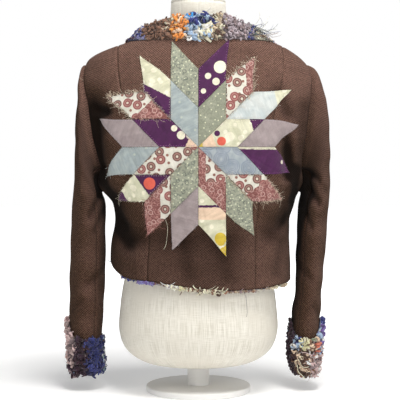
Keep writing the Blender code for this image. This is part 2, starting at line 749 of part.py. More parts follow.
def add_star():
    """Eight diamonds round a point, and two more standing on each joint between them."""
    turns = math.pi / 2 - np.arange(STAR_POINTS + 1) * 2 * math.pi / STAR_POINTS
    arms = STAR_SIDE * np.stack((np.cos(turns), np.sin(turns)), -1)
    origin = np.zeros(2)
    for index in range(STAR_POINTS):
        here, after = arms[index], arms[index + 1]
        before = arms[index - 1] if index else arms[STAR_POINTS - 1]
        inner = np.array([origin, here, here + after, after])
        add_patch(f"star_inner_{index + 1}", inner, INNER_CLOTHS[index])
        for place, beside in enumerate((before, after)):
            outer = np.array([here, 2 * here, 2 * here + beside, here + beside])
            add_patch(f"star_outer_{2 * index + place + 1:02d}", outer, OUTER_CLOTHS[index][place])


def add_lofted(name, table, material):
    """A solid through oval sections, closed flat at both ends."""
    cols = 24
    part = columns(table)
    turn = np.linspace(0, 2 * math.pi, cols, endpoint=False)
    depth = np.where(np.sin(turn) < 0, part["back"][:, None], part["front"][:, None])
    x = part["half_width"][:, None] * np.cos(turn)
    z = np.repeat(part["height"][:, None], cols, axis=1)
    grid = np.stack((x, depth * np.sin(turn), z), -1)
    rows = len(grid)
    faces = [tuple(range(cols)), tuple(range((rows - 1) * cols, rows * cols))]
    for row in range(rows - 1):
        for col in range(cols):
            after = (col + 1) % cols
            low, high = row * cols, (row + 1) * cols
            faces.append((low + col, low + after, high + after, high + col))
    return add_object(name, grid.reshape(-1, 3).tolist(), faces, material)


def add_round(name, radius, low, high, bevel):
    """A turned disc or post with a rounded edge."""
    mesh = bpy.data.meshes.new(name)
    work = bmesh.new()
    bmesh.ops.create_cone(
        work, cap_ends=True, segments=32, radius1=radius, radius2=radius, depth=high - low
    )
    work.to_mesh(mesh)
    work.free()
    mesh.shade_smooth()
    mesh.set_sharp_from_angle(angle=math.radians(40))
    mesh.materials.append(get_material("stand_paint"))
    made = bpy.data.objects.new(name, mesh)
    made.location.z = (low + high) / 2
    bpy.context.scene.collection.objects.link(made)
    if bevel:
        rounded = made.modifiers.new("Rounded edge", "BEVEL")
        rounded.width = bevel
        rounded.segments = 2
        rounded.limit_method = "ANGLE"
    return made


def main():
    for old in list(bpy.data.objects):
        bpy.data.objects.remove(old, do_unlink=True)
    add_round("base", BASE_RADIUS, 0.0, BASE_THICK, BASE_EDGE)
    add_round("stem", STEM_RADIUS, BASE_THICK + SEAM_GAP, FORM_FOOT, 0)
    add_lofted("dress_form", FORM, "linen")
    add_lofted("neck_cap", NECK_CAP, "linen")
    add_back_centre()
    for side, word in ((-1, "left"), (1, "right")):
        add_back_side(side, f"back_side_{word}")
        add_front(side, f"front_{word}")
        add_front_trim(side, f"front_trim_{word}")
    add_sleeve(-1, "sleeve_left", SLEEVE_LEFT)
    add_sleeve(1, "sleeve_right", SLEEVE_RIGHT)
    add_cuff(-1, "cuff_left", CUFF_LEFT, inner_peak=0)
    add_cuff(1, "cuff_right", CUFF_RIGHT, inner_peak=1)
    add_collar()
    add_hem_trim()
    add_star()


main()
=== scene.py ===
"""Looks of a cropped wool jacket with a pieced star on its back, on a linen dress form.

Metres, +Z up. The jacket's back faces -Y, so its left sleeve is on the -X side. The cloth
follows one garment surface: a point on it is an angle round the body and a height, where
angle 0 is the centre back, +90 and -90 degrees are the side seams and 180 the centre front.
"""

import math

import bpy
import numpy as np
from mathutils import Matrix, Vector


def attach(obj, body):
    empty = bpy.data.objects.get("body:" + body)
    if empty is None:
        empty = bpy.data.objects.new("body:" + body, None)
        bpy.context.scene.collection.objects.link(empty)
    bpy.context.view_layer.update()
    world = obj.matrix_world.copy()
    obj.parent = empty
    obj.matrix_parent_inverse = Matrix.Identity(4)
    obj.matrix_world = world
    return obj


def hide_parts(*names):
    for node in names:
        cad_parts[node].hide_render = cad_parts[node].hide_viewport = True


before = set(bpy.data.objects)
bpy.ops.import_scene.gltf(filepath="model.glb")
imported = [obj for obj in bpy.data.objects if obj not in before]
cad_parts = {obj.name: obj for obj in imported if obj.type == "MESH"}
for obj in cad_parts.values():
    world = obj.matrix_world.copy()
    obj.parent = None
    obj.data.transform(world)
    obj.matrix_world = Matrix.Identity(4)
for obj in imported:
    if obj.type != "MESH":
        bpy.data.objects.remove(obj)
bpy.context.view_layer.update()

# Cloth and seams
CLOTH = 0.002
SEAM_GAP = 0.0003
SEAM_DIP = 0.0015
SEAM_WIDTH = 0.0022
PATCH_CLOTH = 0.0007
PATCH_LIFT = 0.0006
PATCH_INSET = 0.00012

# Heights above the floor
BASE_THICK = 0.012
FORM_FOOT = 0.050
HEM = 0.2145
UNDERARM = 0.398
SHOULDER_TIP = 0.652
SHOULDER_STEP = 0.6945
NECK_EDGE = 0.700

# Widths and counts
BASE_RADIUS = 0.105
BASE_EDGE = 0.003
STEM_RADIUS = 0.022
ARMHOLE_HALF_DEPTH = 0.053
SLEEVE_SWELL = 0.010
CAP_RINGS = 8
BEND_SHARE = 0.8
BEND_FADE = 0.7
UNDERARM_TURN = (0.2, 0.9)
STAR_CENTRE = 0.4866
STAR_SIDE = 0.0741
STAR_POINTS = 8
QUARTER = math.pi / 2
SQUARENESS = 2.15
HEM_FADE = 0.13

# The garment surface's half widths and depths at each height
GIRTH = (
    ("height", "left", "right", "back", "front"),
    (0.2145, 0.1750, 0.1840, 0.120, 0.122),
    (0.2600, 0.1752, 0.1830, 0.114, 0.119),
    (0.3020, 0.1730, 0.1812, 0.110, 0.119),
    (0.3400, 0.1710, 0.1835, 0.110, 0.122),
    (0.3720, 0.1745, 0.1945, 0.112, 0.127),
    (0.3980, 0.1885, 0.2005, 0.115, 0.131),
    (0.4200, 0.2030, 0.2105, 0.117, 0.134),
    (0.4650, 0.2190, 0.2210, 0.120, 0.137),
    (0.5100, 0.2320, 0.2340, 0.121, 0.130),
    (0.5700, 0.2390, 0.2400, 0.116, 0.110),
    (0.6100, 0.2380, 0.2360, 0.108, 0.094),
    (0.6400, 0.2300, 0.2250, 0.100, 0.081),
    (0.6520, 0.2235, 0.2140, 0.096, 0.076),
    (0.6600, 0.2180, 0.2060, 0.093, 0.072),
    (0.6680, 0.2075, 0.1965, 0.090, 0.068),
    (0.6760, 0.1920, 0.1850, 0.087, 0.063),
    (0.6860, 0.1665, 0.1680, 0.083, 0.057),
    (0.6940, 0.1410, 0.1490, 0.080, 0.052),
    (0.7000, 0.1260, 0.1280, 0.078, 0.049),
    (0.7120, 0.1180, 0.1180, 0.076, 0.046),
    (0.7280, 0.1080, 0.1080, 0.074, 0.044),
    (0.7450, 0.0990, 0.0990, 0.072, 0.042),
)

# How far each princess seam lies from the centre back, and each front edge from the centre front
SEAMS = (
    ("height", "left", "right"),
    (0.2145, 0.0990, 0.1100),
    (0.3000, 0.0970, 0.1110),
    (0.3800, 0.1060, 0.1160),
    (0.5400, 0.1380, 0.1440),
    (0.6000, 0.1500, 0.1590),
    (0.6500, 0.1565, 0.1650),
    (0.6900, 0.1580, 0.1660),
)
FRONT_EDGE = (
    ("height", "half_gap"),
    (0.2145, 0.025),
    (0.3000, 0.018),
    (0.4000, 0.013),
    (0.5000, 0.015),
    (0.5400, 0.027),
    (0.5750, 0.045),
    (0.6150, 0.065),
    (0.6550, 0.080),
    (0.7000, 0.096),
)

# How far the hem rises above its centre back, by the angle round the body in degrees
HEM_LINE = (
    ("angle", "rise"),
    (-180, 0.040),
    (-90, 0.046),
    (-72, 0.034),
    (-60, 0.0245),
    (-50, 0.0190),
    (-38, 0.0162),
    (-28, 0.0145),
    (-18, 0.0100),
    (-8, 0.0062),
    (2, 0.0022),
    (12, -0.0008),
    (22, -0.0014),
    (40, 0.0006),
    (52, 0.0034),
    (66, 0.0060),
    (90, 0.012),
    (130, 0.024),
    (180, 0.034),
)

# Soft folds, each a straight line from one place to another. A trough has a negative depth.
FOLDS = (
    ("from_x", "from_z", "to_x", "to_z", "width", "depth"),
    (-0.185, 0.370, -0.130, 0.305, 0.024, -0.006),
    (-0.185, 0.415, -0.135, 0.365, 0.028, 0.004),
    (0.190, 0.380, 0.140, 0.320, 0.024, -0.005),
    (0.195, 0.425, 0.145, 0.375, 0.028, 0.003),
    (-0.205, 0.570, -0.200, 0.450, 0.022, -0.007),
    (0.210, 0.560, 0.205, 0.450, 0.022, -0.004),
    (-0.050, 0.320, 0.060, 0.310, 0.034, -0.004),
)

# Smaller creases, on the back only and on the front only
BACK_CREASES = (
    ("from_x", "from_z", "to_x", "to_z", "width", "depth"),
    (-0.198, 0.558, -0.178, 0.554, 0.010, -0.007),
    (-0.200, 0.535, -0.196, 0.450, 0.009, -0.004),
    (-0.192, 0.445, -0.166, 0.386, 0.012, -0.006),
    (-0.166, 0.386, -0.148, 0.334, 0.011, -0.004),
    (-0.176, 0.500, -0.160, 0.420, 0.012, 0.002),
    (-0.185, 0.390, -0.150, 0.342, 0.007, -0.002),
    (-0.160, 0.322, -0.132, 0.290, 0.008, -0.002),
    (0.150, 0.592, 0.172, 0.552, 0.013, -0.003),
    (0.170, 0.500, 0.176, 0.430, 0.012, -0.006),
    (0.187, 0.505, 0.188, 0.460, 0.007, 0.002),
    (0.192, 0.440, 0.190, 0.392, 0.009, -0.004),
    (0.168, 0.436, 0.166, 0.340, 0.008, -0.002),
    (0.188, 0.372, 0.158, 0.330, 0.007, -0.002),
    (0.165, 0.300, 0.150, 0.240, 0.010, -0.002),
    (-0.030, 0.300, -0.020, 0.240, 0.016, -0.002),
    (0.045, 0.290, 0.060, 0.235, 0.018, -0.002),
    (-0.120, 0.285, -0.115, 0.235, 0.014, 0.002),
    (0.020, 0.660, 0.100, 0.668, 0.012, -0.001),
)
FRONT_CREASES = (
    ("from_x", "from_z", "to_x", "to_z", "width", "depth"),
    (-0.190, 0.540, -0.128, 0.478, 0.014, -0.006),
    (-0.186, 0.490, -0.104, 0.446, 0.012, 0.003),
    (-0.178, 0.452, -0.118, 0.404, 0.012, -0.005),
    (0.194, 0.546, 0.140, 0.472, 0.013, -0.006),
    (0.186, 0.484, 0.098, 0.436, 0.012, 0.003),
    (0.176, 0.440, 0.128, 0.398, 0.011, -0.005),
    (-0.158, 0.392, -0.086, 0.336, 0.012, -0.005),
    (-0.150, 0.340, -0.112, 0.296, 0.011, -0.004),
    (0.160, 0.376, 0.094, 0.318, 0.012, -0.005),
    (0.152, 0.322, 0.118, 0.276, 0.010, -0.003),
    (-0.072, 0.336, -0.060, 0.256, 0.015, -0.004),
    (0.082, 0.326, 0.070, 0.250, 0.015, -0.004),
    (-0.150, 0.640, -0.118, 0.596, 0.013, -0.003),
    (0.146, 0.646, 0.120, 0.590, 0.013, -0.003),
)

# Lines along which the body's wool is darkened as painted shade: in the hollows under the arms, where the
# cloth is tucked in, and low on the back
PAINTED_SHADE_LINES = (
    ("from_x", "from_z", "to_x", "to_z", "width", "share"),
    (-0.200, 0.558, -0.178, 0.556, 0.009, 0.90),
    (-0.201, 0.545, -0.198, 0.480, 0.006, 0.60),
    (-0.196, 0.525, -0.176, 0.470, 0.018, 0.25),
    (-0.198, 0.465, -0.186, 0.420, 0.009, 0.90),
    (-0.188, 0.420, -0.162, 0.384, 0.010, 0.90),
    (-0.158, 0.388, -0.150, 0.340, 0.014, 0.70),
    (0.150, 0.588, 0.172, 0.550, 0.015, 0.22),
    (0.172, 0.480, 0.182, 0.430, 0.015, 0.55),
    (0.190, 0.440, 0.186, 0.385, 0.012, 0.90),
    (-0.160, 0.255, 0.020, 0.250, 0.060, 0.30),
    (0.020, 0.250, 0.150, 0.260, 0.060, 0.22),
    (-0.130, 0.345, -0.070, 0.300, 0.035, 0.20),
)

# The same painted shade on each sleeve, by the degrees round it
LEFT_PAINTED_SHADE = (
    ("from_turn", "from_z", "to_turn", "to_z", "width", "share"),
    (92, 0.560, 62, 0.530, 0.009, 0.9),
    (40, 0.555, 40, 0.500, 0.014, 0.6),
    (60, 0.530, 45, 0.481, 0.008, 0.9),
    (30, 0.490, 20, 0.440, 0.020, 0.8),
    (40, 0.470, 22, 0.400, 0.012, 1.0),
    (10, 0.400, 10, 0.360, 0.014, 0.7),
)
RIGHT_PAINTED_SHADE = (
    ("from_turn", "from_z", "to_turn", "to_z", "width", "share"),
    (20, 0.560, 20, 0.500, 0.012, 0.6),
    (65, 0.500, 55, 0.470, 0.016, 0.4),
    (10, 0.460, 10, 0.390, 0.032, 1.0),
    (40, 0.440, 46, 0.382, 0.016, 0.95),
    (34, 0.385, 20, 0.300, 0.022, 0.7),
    (2, 0.380, 2, 0.120, 0.030, 1.0),
)
# How deep a fold is where its painted shade is full
FULL_SHADE_DEPTH = 0.008

# Creases on a sleeve, by the degrees round it from its inner edge over the back, and the height
SLEEVE_LEFT_CREASES = (
    ("from_turn", "from_z", "to_turn", "to_z", "width", "depth"),
    (96, 0.566, 64, 0.530, 0.010, -0.006),
    (62, 0.530, 46, 0.470, 0.010, -0.006),
    (46, 0.470, 30, 0.400, 0.011, -0.006),
    (115, 0.560, 100, 0.400, 0.013, 0.002),
    (20, 0.400, 75, 0.350, 0.010, -0.003),
    (15, 0.360, 60, 0.320, 0.009, -0.002),
    (150, 0.500, 120, 0.450, 0.009, -0.002),
    (20, 0.240, 80, 0.215, 0.010, -0.002),
    (100, 0.180, 150, 0.160, 0.010, -0.002),
    (340, 0.390, 290, 0.345, 0.011, -0.005),
    (330, 0.350, 262, 0.306, 0.010, -0.004),
    (250, 0.300, 290, 0.270, 0.010, 0.002),
    (262, 0.560, 288, 0.500, 0.011, -0.005),
    (230, 0.520, 262, 0.462, 0.012, -0.004),
    (215, 0.418, 280, 0.402, 0.010, -0.005),
    (222, 0.372, 262, 0.352, 0.009, -0.004),
    (225, 0.236, 300, 0.212, 0.011, -0.004),
    (218, 0.166, 262, 0.156, 0.009, -0.003),
)
SLEEVE_RIGHT_CREASES = (
    ("from_turn", "from_z", "to_turn", "to_z", "width", "depth"),
    (40, 0.442, 85, 0.420, 0.008, -0.005),
    (80, 0.424, 125, 0.412, 0.010, 0.002),
    (45, 0.405, 95, 0.376, 0.009, -0.005),
    (130, 0.580, 125, 0.470, 0.014, 0.003),
    (60, 0.560, 50, 0.480, 0.012, -0.003),
    (25, 0.380, 75, 0.330, 0.009, -0.003),
    (30, 0.250, 90, 0.225, 0.010, -0.002),
    (110, 0.170, 150, 0.150, 0.010, -0.002),
    (340, 0.400, 285, 0.350, 0.011, -0.005),
    (330, 0.350, 258, 0.312, 0.010, -0.004),
    (240, 0.290, 290, 0.265, 0.010, 0.002),
    (258, 0.572, 292, 0.506, 0.012, -0.005),
    (226, 0.500, 254, 0.452, 0.010, -0.004),
    (212, 0.430, 286, 0.408, 0.011, -0.005),
    (228, 0.384, 256, 0.360, 0.009, -0.004),
    (220, 0.226, 292, 0.206, 0.010, -0.004),
    (222, 0.150, 270, 0.146, 0.010, -0.003),
)

# Each sleeve's rings, from the armhole to the end hidden in the cuff, by their outer and inner edges
SLEEVES = (
    ("left_outer_x", "left_outer_z", "left_inner_x", "right_outer_x", "right_outer_z", "right_inner_x",
     "inner_z", "half_depth", "middle_y"),
    (0.2300, 0.6480, 0.1912, 0.2290, 0.6450, 0.2030, 0.3975, 0.0605, 0.000),
    (0.2345, 0.6330, 0.1920, 0.2390, 0.6270, 0.2037, 0.3965, 0.0625, 0.000),
    (0.2358, 0.6050, 0.1915, 0.2465, 0.5980, 0.2037, 0.3940, 0.0645, 0.001),
    (0.2400, 0.5720, 0.1900, 0.2525, 0.5620, 0.2030, 0.3900, 0.0660, 0.002),
    (0.2428, 0.5200, 0.1880, 0.2565, 0.5150, 0.2022, 0.3850, 0.0670, 0.003),
    (0.2446, 0.4680, 0.1866, 0.2600, 0.4650, 0.2012, 0.3760, 0.0660, 0.005),
    (0.2490, 0.4150, 0.1858, 0.2620, 0.4150, 0.1992, 0.3550, 0.0645, 0.007),
    (0.2535, 0.3550, 0.1865, 0.2595, 0.3550, 0.1980, 0.3250, 0.0620, 0.010),
    (0.2560, 0.2950, 0.1862, 0.2555, 0.2950, 0.1975, 0.2900, 0.0590, 0.014),
    (0.2590, 0.2400, 0.1883, 0.2510, 0.2400, 0.1965, 0.2400, 0.0560, 0.018),
    (0.2600, 0.1900, 0.1905, 0.2480, 0.1900, 0.1945, 0.1900, 0.0530, 0.022),
    (0.2610, 0.1500, 0.1925, 0.2460, 0.1500, 0.1895, 0.1500, 0.0500, 0.025),
    (0.2600, 0.1120, 0.1960, 0.2440, 0.1120, 0.1880, 0.1120, 0.0480, 0.028),
    (0.2575, 0.0800, 0.1990, 0.2415, 0.0800, 0.1895, 0.0800, 0.0440, 0.030),
)

# Each cuff's plain inside, and the height of its top edge round the wrist
CUFFS = (
    ("height", "left_inner_x", "left_outer_x", "left_half_depth",
     "right_inner_x", "right_outer_x", "right_half_depth", "middle_y"),
    (0.027, 0.1990, 0.2540, 0.0370, 0.1960, 0.2360, 0.0350, 0.031),
    (0.045, 0.1935, 0.2585, 0.0420, 0.1900, 0.2395, 0.0410, 0.031),
    (0.080, 0.1980, 0.2585, 0.0450, 0.1850, 0.2425, 0.0450, 0.030),
    (0.112, 0.1952, 0.2608, 0.0488, 0.1868, 0.2450, 0.0490, 0.028),
    (0.150, 0.1917, 0.2618, 0.0508, 0.1887, 0.2468, 0.0508, 0.025),
)
CUFF_FOOT = 0.031
CUFF_TOP = 0.105
CUFF_PEAK = 0.038
CUFF_PEAK_SPREAD = 0.62

# The collar's edges, by the angle from the centre back in degrees
COLLAR = (
    ("angle", "low", "high"),
    (0, 0.6935, 0.7425),
    (18, 0.6935, 0.7405),
    (30, 0.6935, 0.7365),
    (45, 0.6937, 0.7310),
    (58, 0.6938, 0.7265),
    (75, 0.6940, 0.7205),
    (90, 0.6940, 0.7150),
    (105, 0.6920, 0.7100),
)
COLLAR_LIFT = 0.0010

# The front trim's edges below the collar's end, each a distance from the centre front and a height
FRONT_TRIM = (
    ("outer_x", "outer_z", "inner_x", "inner_z"),
    (0.1210, 0.6720, 0.0880, 0.6900),
    (0.1100, 0.6450, 0.0750, 0.6560),
    (0.0960, 0.6100, 0.0600, 0.6160),
    (0.0760, 0.5740, 0.0400, 0.5750),
    (0.0590, 0.5400, 0.0220, 0.5400),
    (0.0470, 0.5000, 0.0100, 0.5000),
    (0.0410, 0.4000, 0.0080, 0.4000),
    (0.0460, 0.3000, 0.0130, 0.3000),
    (0.0560, 0.2145, 0.0200, 0.2145),
)
FRONT_TRIM_LIFT = 0.0018
TRIM_JOINT = 0.006
HEM_TRIM_LIFT = 0.0016
HEM_TRIM_THICK = 0.003
HEM_TRIM_HEIGHT = 0.012
HEM_TRIM_HANG = 0.004
HEM_TRIM_END = math.pi - 0.30

# The dress form's half width and its depths behind and in front, from its foot to its neck
FORM = (
    ("height", "half_width", "back", "front"),
    (0.0503, 0.0430, 0.0360, 0.0320),
    (0.0560, 0.0930, 0.0720, 0.0640),
    (0.0660, 0.1210, 0.0930, 0.0830),
    (0.0860, 0.1450, 0.1100, 0.0990),
    (0.1100, 0.1560, 0.1170, 0.1060),
    (0.1340, 0.1590, 0.1180, 0.1080),
    (0.1780, 0.1555, 0.1120, 0.1060),
    (0.2240, 0.1480, 0.1010, 0.0990),
    (0.2700, 0.1330, 0.0900, 0.0900),
    (0.3200, 0.1210, 0.0840, 0.0860),
    (0.3600, 0.1270, 0.0880, 0.0920),
    (0.4000, 0.1400, 0.0960, 0.1020),
    (0.4500, 0.1520, 0.1040, 0.1180),
    (0.5000, 0.1600, 0.1080, 0.1200),
    (0.5600, 0.1660, 0.1070, 0.1020),
    (0.6100, 0.1720, 0.0990, 0.0860),
    (0.6400, 0.1760, 0.0900, 0.0720),
    (0.6560, 0.1790, 0.0840, 0.0640),
    (0.6680, 0.1770, 0.0800, 0.0590),
    (0.6770, 0.1690, 0.0780, 0.0550),
    (0.6860, 0.1555, 0.0760, 0.0510),
    (0.6940, 0.1320, 0.0730, 0.0460),
    (0.7000, 0.1150, 0.0700, 0.0430),
    (0.7060, 0.0960, 0.0660, 0.0430),
    (0.7130, 0.0780, 0.0620, 0.0440),
    (0.7220, 0.0655, 0.0560, 0.0460),
    (0.7380, 0.0570, 0.0525, 0.0490),
    (0.7740, 0.0540, 0.0520, 0.0520),
)
NECK_CAP = (
    ("height", "half_width", "back", "front"),
    (0.7743, 0.0545, 0.0525, 0.0525),
    (0.7850, 0.0515, 0.0495, 0.0495),
    (0.7930, 0.0430, 0.0410, 0.0410),
    (0.7980, 0.0280, 0.0270, 0.0270),
    (0.8000, 0.0110, 0.0105, 0.0105),
)

# Light, camera and the white surroundings
LIGHTS = (
    ("name", "place", "target", "size", "power", "color"),
    ("top", (0.35, -0.75, 2.7), (0, 0, 0.45), 1.0, 62.0, (1.0, 0.985, 0.96)),
    ("key", (1.0, -2.0, 1.5), (0, 0, 0.45), 1.0, 18.0, (1.0, 0.985, 0.96)),
    ("fill", (-1.9, -1.9, 1.0), (0, 0, 0.4), 1.6, 2.5, (0.96, 0.98, 1.0)),
    ("far side", (0.4, 2.2, 1.9), (0, 0, 0.45), 1.4, 12.0, (1.0, 1.0, 1.0)),
)
FLOOR_REACH = 9.0
FLOOR_DROP = 0.0002
FLOOR_GLOW = {"From Min": 0.5, "From Max": 1.6, "To Min": 0.25, "To Max": 1.0}
SKY_RISE = {"From Min": 0.16, "From Max": 0.30}
HORIZON = (1.0, 1.0, 1.0, 1)
SKY = (0.14, 0.144, 0.15, 1)
CAMERA_PLACE = (0.0032, -2.3, 0.46)
CAMERA_TARGET = (0.0032, 0.0, 0.382)
CAMERA_FIELD = 19.7

# The wool's weave, and the direction it is painted paler towards, as painted light from above
WEAVE_ACROSS = 0.0052
WEAVE_ALONG = 0.0048
PAINTED_LIGHT_TOWARD = (0.22, -0.45, 0.86)

# Degrees round the form at which it is sewn, from its right side
FORM_SEAMS = (270, 270 - 38, 270 + 38, 0, 180, 90, 90 - 38, 90 + 38)
CAP_SEAMS = (270, 90)


def linear(color):
    """A linear color from an eight-bit one."""
    share = np.array(color) / 255
    return np.where(share <= 0.04045, share / 12.92, ((share + 0.055) / 1.055) ** 2.4)


# The steps of the cloth's grids: up the armhole, round and down a sleeve, and across a diamond
ARMHOLE_STEPS = 84
SLEEVE_STEPS = 48
SLEEVE_ROWS = 140
UNDER_SLEEVE_STEPS = 12
PATCH_STEPS = 29

# A sleeve's mean radius, by which turns become distances, and where its creases fade out
SLEEVE_ROUND = 0.055
ARMHOLE_HOLD = 0.03
CUFF_HOLD_START = 0.10
CUFF_HOLD_RUN = 0.05
CUFF_HOLD_LEAST = 0.15

# Rag trim: the thickness of each backing and the number of rags on it
COLLAR_GROUND = 0.0050
COLLAR_RAGS = 1050
FRONT_GROUND = 0.0035
FRONT_RAGS = 620
CUFF_GROUND = 0.0030
CUFF_RAGS = 1100
CUFF_BLUR = 5.0
# The backing takes the rags' colors darkened by this share, as painted shade in the gaps of the pile
GROUND_SHADE = 0.38

# How far the cuffs' rags grow, by the degrees round from the side towards the body
CUFF_GROWTH = ((0, 45, 110, 180, 250, 315, 360), (0.5, 0.7, 0.9, 1.0, 0.9, 0.7, 0.5))

# How far the collar's rags grow, by x from the left: they are shorter over the shoulders
COLLAR_GROWTH = ((-0.13, -0.06, -0.02, 0.02, 0.07, 0.11, 0.12), (0.45, 0.55, 0.9, 1.0, 0.7, 0.5, 0.3))

# Colors of the rags and yarns, as eight-bit ones and as linear ones
RAG_SHADES = {
    "aubergine": (58, 32, 54),
    "lilac_blue": (150, 150, 205),
    "brown": (140, 103, 83),
    "dark_brown": (88, 62, 50),
    "orange": (238, 150, 72),
    "peach": (246, 217, 188),
    "bright_blue": (60, 150, 220),
    "navy": (58, 64, 128),
    "light_blue": (180, 204, 232),
    "cream": (238, 232, 204),
    "white": (246, 244, 240),
    "beige": (188, 169, 143),
    "grey_lilac": (174, 160, 166),
    "grey_green": (112, 122, 118),
    "mauve": (160, 140, 142),
    "pink": (214, 188, 184),
    "coral": (222, 128, 104),
    "pale_yellow": (232, 226, 180),
    "teal": (170, 200, 196),
    "sage": (150, 158, 134),
    "purple": (124, 100, 168),
    "deep_navy": (40, 42, 98),
    "deep_plum": (54, 24, 38),
    "blush": (232, 200, 198),
}
RAG_COLORS = {name: linear(shade) for name, shade in RAG_SHADES.items()}
MIXED_RAGS = (
    "brown", "grey_lilac", "aubergine", "light_blue", "mauve", "navy", "beige", "sage", "pink", "brown"
)

# How full the front trim's rags are, and the shares of all rags that are knotted or fine
FRONT_GROWTH = 0.95
KNOTTED_SHARE = 0.36
FINE_SHARE = 0.20

# Mixed rags change color from lump to lump along a trim, from a start of its own
LUMP = 0.035
COLLAR_FRONT_START = 9
FRONT_LUMP_START = 3
HEM_LUMP_START = 5
HEM_ROUND = 0.17

# A knotted loop's radius, and for each kind of loose end its length, its radius and its shape
KNOT_SIZE = (0.0028, 0.0056)
HEM_KNOT_SIZE = (0.0020, 0.0038)
RAG_ENDS = {"length": (0.008, 0.018), "width": (0.0020, 0.0038), "flat": 0.5}
FIBRES = {"length": (0.010, 0.024), "width": (0.0002, 0.0004), "flat": 1.0, "sides": 3}
HEM_ENDS = {"length": (0.010, 0.022), "width": (0.0006, 0.0016), "flat": 0.6, "rise": (0.1, 0.9)}
CURLED_THREADS = {
    "length": (0.018, 0.046), "width": (0.0003, 0.00045), "flat": 1.0,
    "rise": (0.9, 1.9), "sides": 3, "steps": 12,
}
CURLED_COLORS = ("grey_green", "grey_green", "cream", "navy", "brown")
CURLED_COUNT = 46
CURLED_ANGLES = (57, 84)
CURLED_HEIGHTS = (0.700, 0.722)

# Running stitches inside a diamond's edge
STITCH_INSET = 0.0024
STITCH_PITCH = 0.0046
STITCH_HALF = 0.0012
STITCH_RISE = 0.00035
STITCH_RADIUS = 0.00030

# Frayed threads: the least value, and how much more the most frayed cloth has
FRAY_COUNT = (14, 90)
FRAY_LENGTH = (0.0008, 0.0016)
FRAY_RADIUS = (0.00017, 0.00010)

# Seeds of what is drawn at random
PATCH_SEED = 100
PRINT_SEED = 200
SEEDS = {
    "cloth": 3,
    "sleeve_left": 10,
    "sleeve_right": 12,
    "collar_trim": 21,
    "collar_rags": 22,
    "front_trim_left": 30,
    "front_trim_right": 32,
    "front_trim_left_rags": 33,
    "front_trim_right_rags": 35,
    "cuff_left": 40,
    "cuff_right": 42,
    "cuff_left_rags": 43,
    "cuff_right_rags": 45,
    "hem_trim": 51,
    "star_stitches": 61,
    "star_frays": 62,
    "loose_threads": 63,
}

# Rag colors on the collar by x from the left and share of its height, as it shows from behind
COLLAR_ZONES = (
    (-0.150, -0.118, 0.0, 1.0, "aubergine", "deep_plum", "navy"),
    (-0.123, -0.103, 0.0, 1.0, "lilac_blue", "lilac_blue", "white", "navy"),
    (-0.107, -0.052, 0.0, 1.0, "brown", "brown", "brown", "dark_brown"),
    (-0.063, -0.050, 0.2, 0.9, "brown", "cream", "peach"),
    (-0.053, -0.020, 0.0, 1.0, "orange", "orange", "orange", "peach"),
    (-0.040, -0.022, 0.55, 1.0, "peach", "orange"),
    (-0.022, -0.009, 0.45, 1.0, "bright_blue", "bright_blue", "light_blue"),
    (-0.012, 0.028, 0.60, 1.0, "navy", "navy", "deep_navy", "light_blue"),
    (-0.023, 0.002, 0.0, 0.55, "light_blue", "light_blue", "white"),
    (-0.006, 0.026, 0.0, 0.62, "cream", "white", "cream", "light_blue"),
    (0.024, 0.048, 0.0, 1.0, "beige", "dark_brown", "beige", "cream"),
    (0.044, 0.100, 0.0, 1.0, "grey_lilac", "grey_lilac", "grey_lilac", "mauve"),
    (0.095, 0.110, 0.0, 1.0, "navy", "navy", "grey_green"),
    (0.106, 0.150, 0.0, 1.0, "cream", "grey_green", "beige"),
)

# Rag colors on the cuffs by the degrees from the inner edge over the back, and share of their height
CUFF_LEFT_ZONES = (
    (0, 18, 0.0, 0.8, "teal", "white", "navy"),
    (12, 86, 0.0, 1.0, "navy", "navy", "deep_navy", "deep_navy"),
    (80, 126, 0.0, 1.0, "deep_plum", "deep_plum", "aubergine"),
    (122, 205, 0.0, 0.2, "deep_plum", "aubergine", "mauve"),
    (122, 160, 0.15, 0.55, "grey_lilac", "aubergine", "pink", "pink"),
    (116, 160, 0.5, 1.0, "pink", "blush", "mauve"),
    (155, 205, 0.15, 0.45, "mauve", "brown", "pink", "pink"),
    (155, 205, 0.4, 1.0, "blush", "blush", "pink"),
)
CUFF_RIGHT_ZONES = (
    (0, 50, 0.0, 1.0, "deep_plum", "deep_plum", "aubergine"),
    (46, 72, 0.62, 1.0, "light_blue", "navy", "white", "light_blue"),
    (70, 96, 0.70, 1.0, "pale_yellow", "pale_yellow", "cream"),
    (46, 110, 0.0, 0.70, "dark_brown", "brown", "dark_brown", "brown", "peach"),
    (92, 122, 0.6, 1.0, "brown", "brown", "peach"),
    (118, 140, 0.5, 0.9, "coral", "peach", "coral"),
    (98, 165, 0.0, 0.60, "blush", "mauve", "pink", "white"),
    (134, 205, 0.5, 1.0, "lilac_blue", "light_blue", "white", "purple", "navy"),
    (160, 205, 0.0, 0.5, "sage", "pink", "pink"),
)

# Tufts below the hem, by the degrees round the body between which they hang and their number
HEM_TUFTS = (
    ("from", "to", "count", "growth", "colors"),
    (-60, -42, 12, 0.7, "navy", "brown"),
    (-40, -28, 30, 0.9, "purple", "purple", "lilac_blue"),
    (-28, -19, 12, 0.6, "grey_lilac", "brown"),
    (-19, -11, 26, 1.1, "cream", "white", "grey_lilac"),
    (-11, -4, 26, 1.2, "cream", "pale_yellow", "brown"),
    (-4, 3, 22, 1.0, "cream", "brown", "dark_brown"),
    (2, 15, 50, 1.2, "brown", "dark_brown", "cream", "cream"),
    (15, 36, 30, 0.8, "beige", "brown", "mauve"),
    (36, 52, 10, 0.6, "beige", "grey_lilac"),
    (50, 72, 26, 0.9, "cream", "beige", "beige"),
    (100, 160, 40, 0.9, "mauve", "navy", "beige", "brown"),
    (-160, -98, 34, 0.9, "brown", "sage", "light_blue", "aubergine"),
)

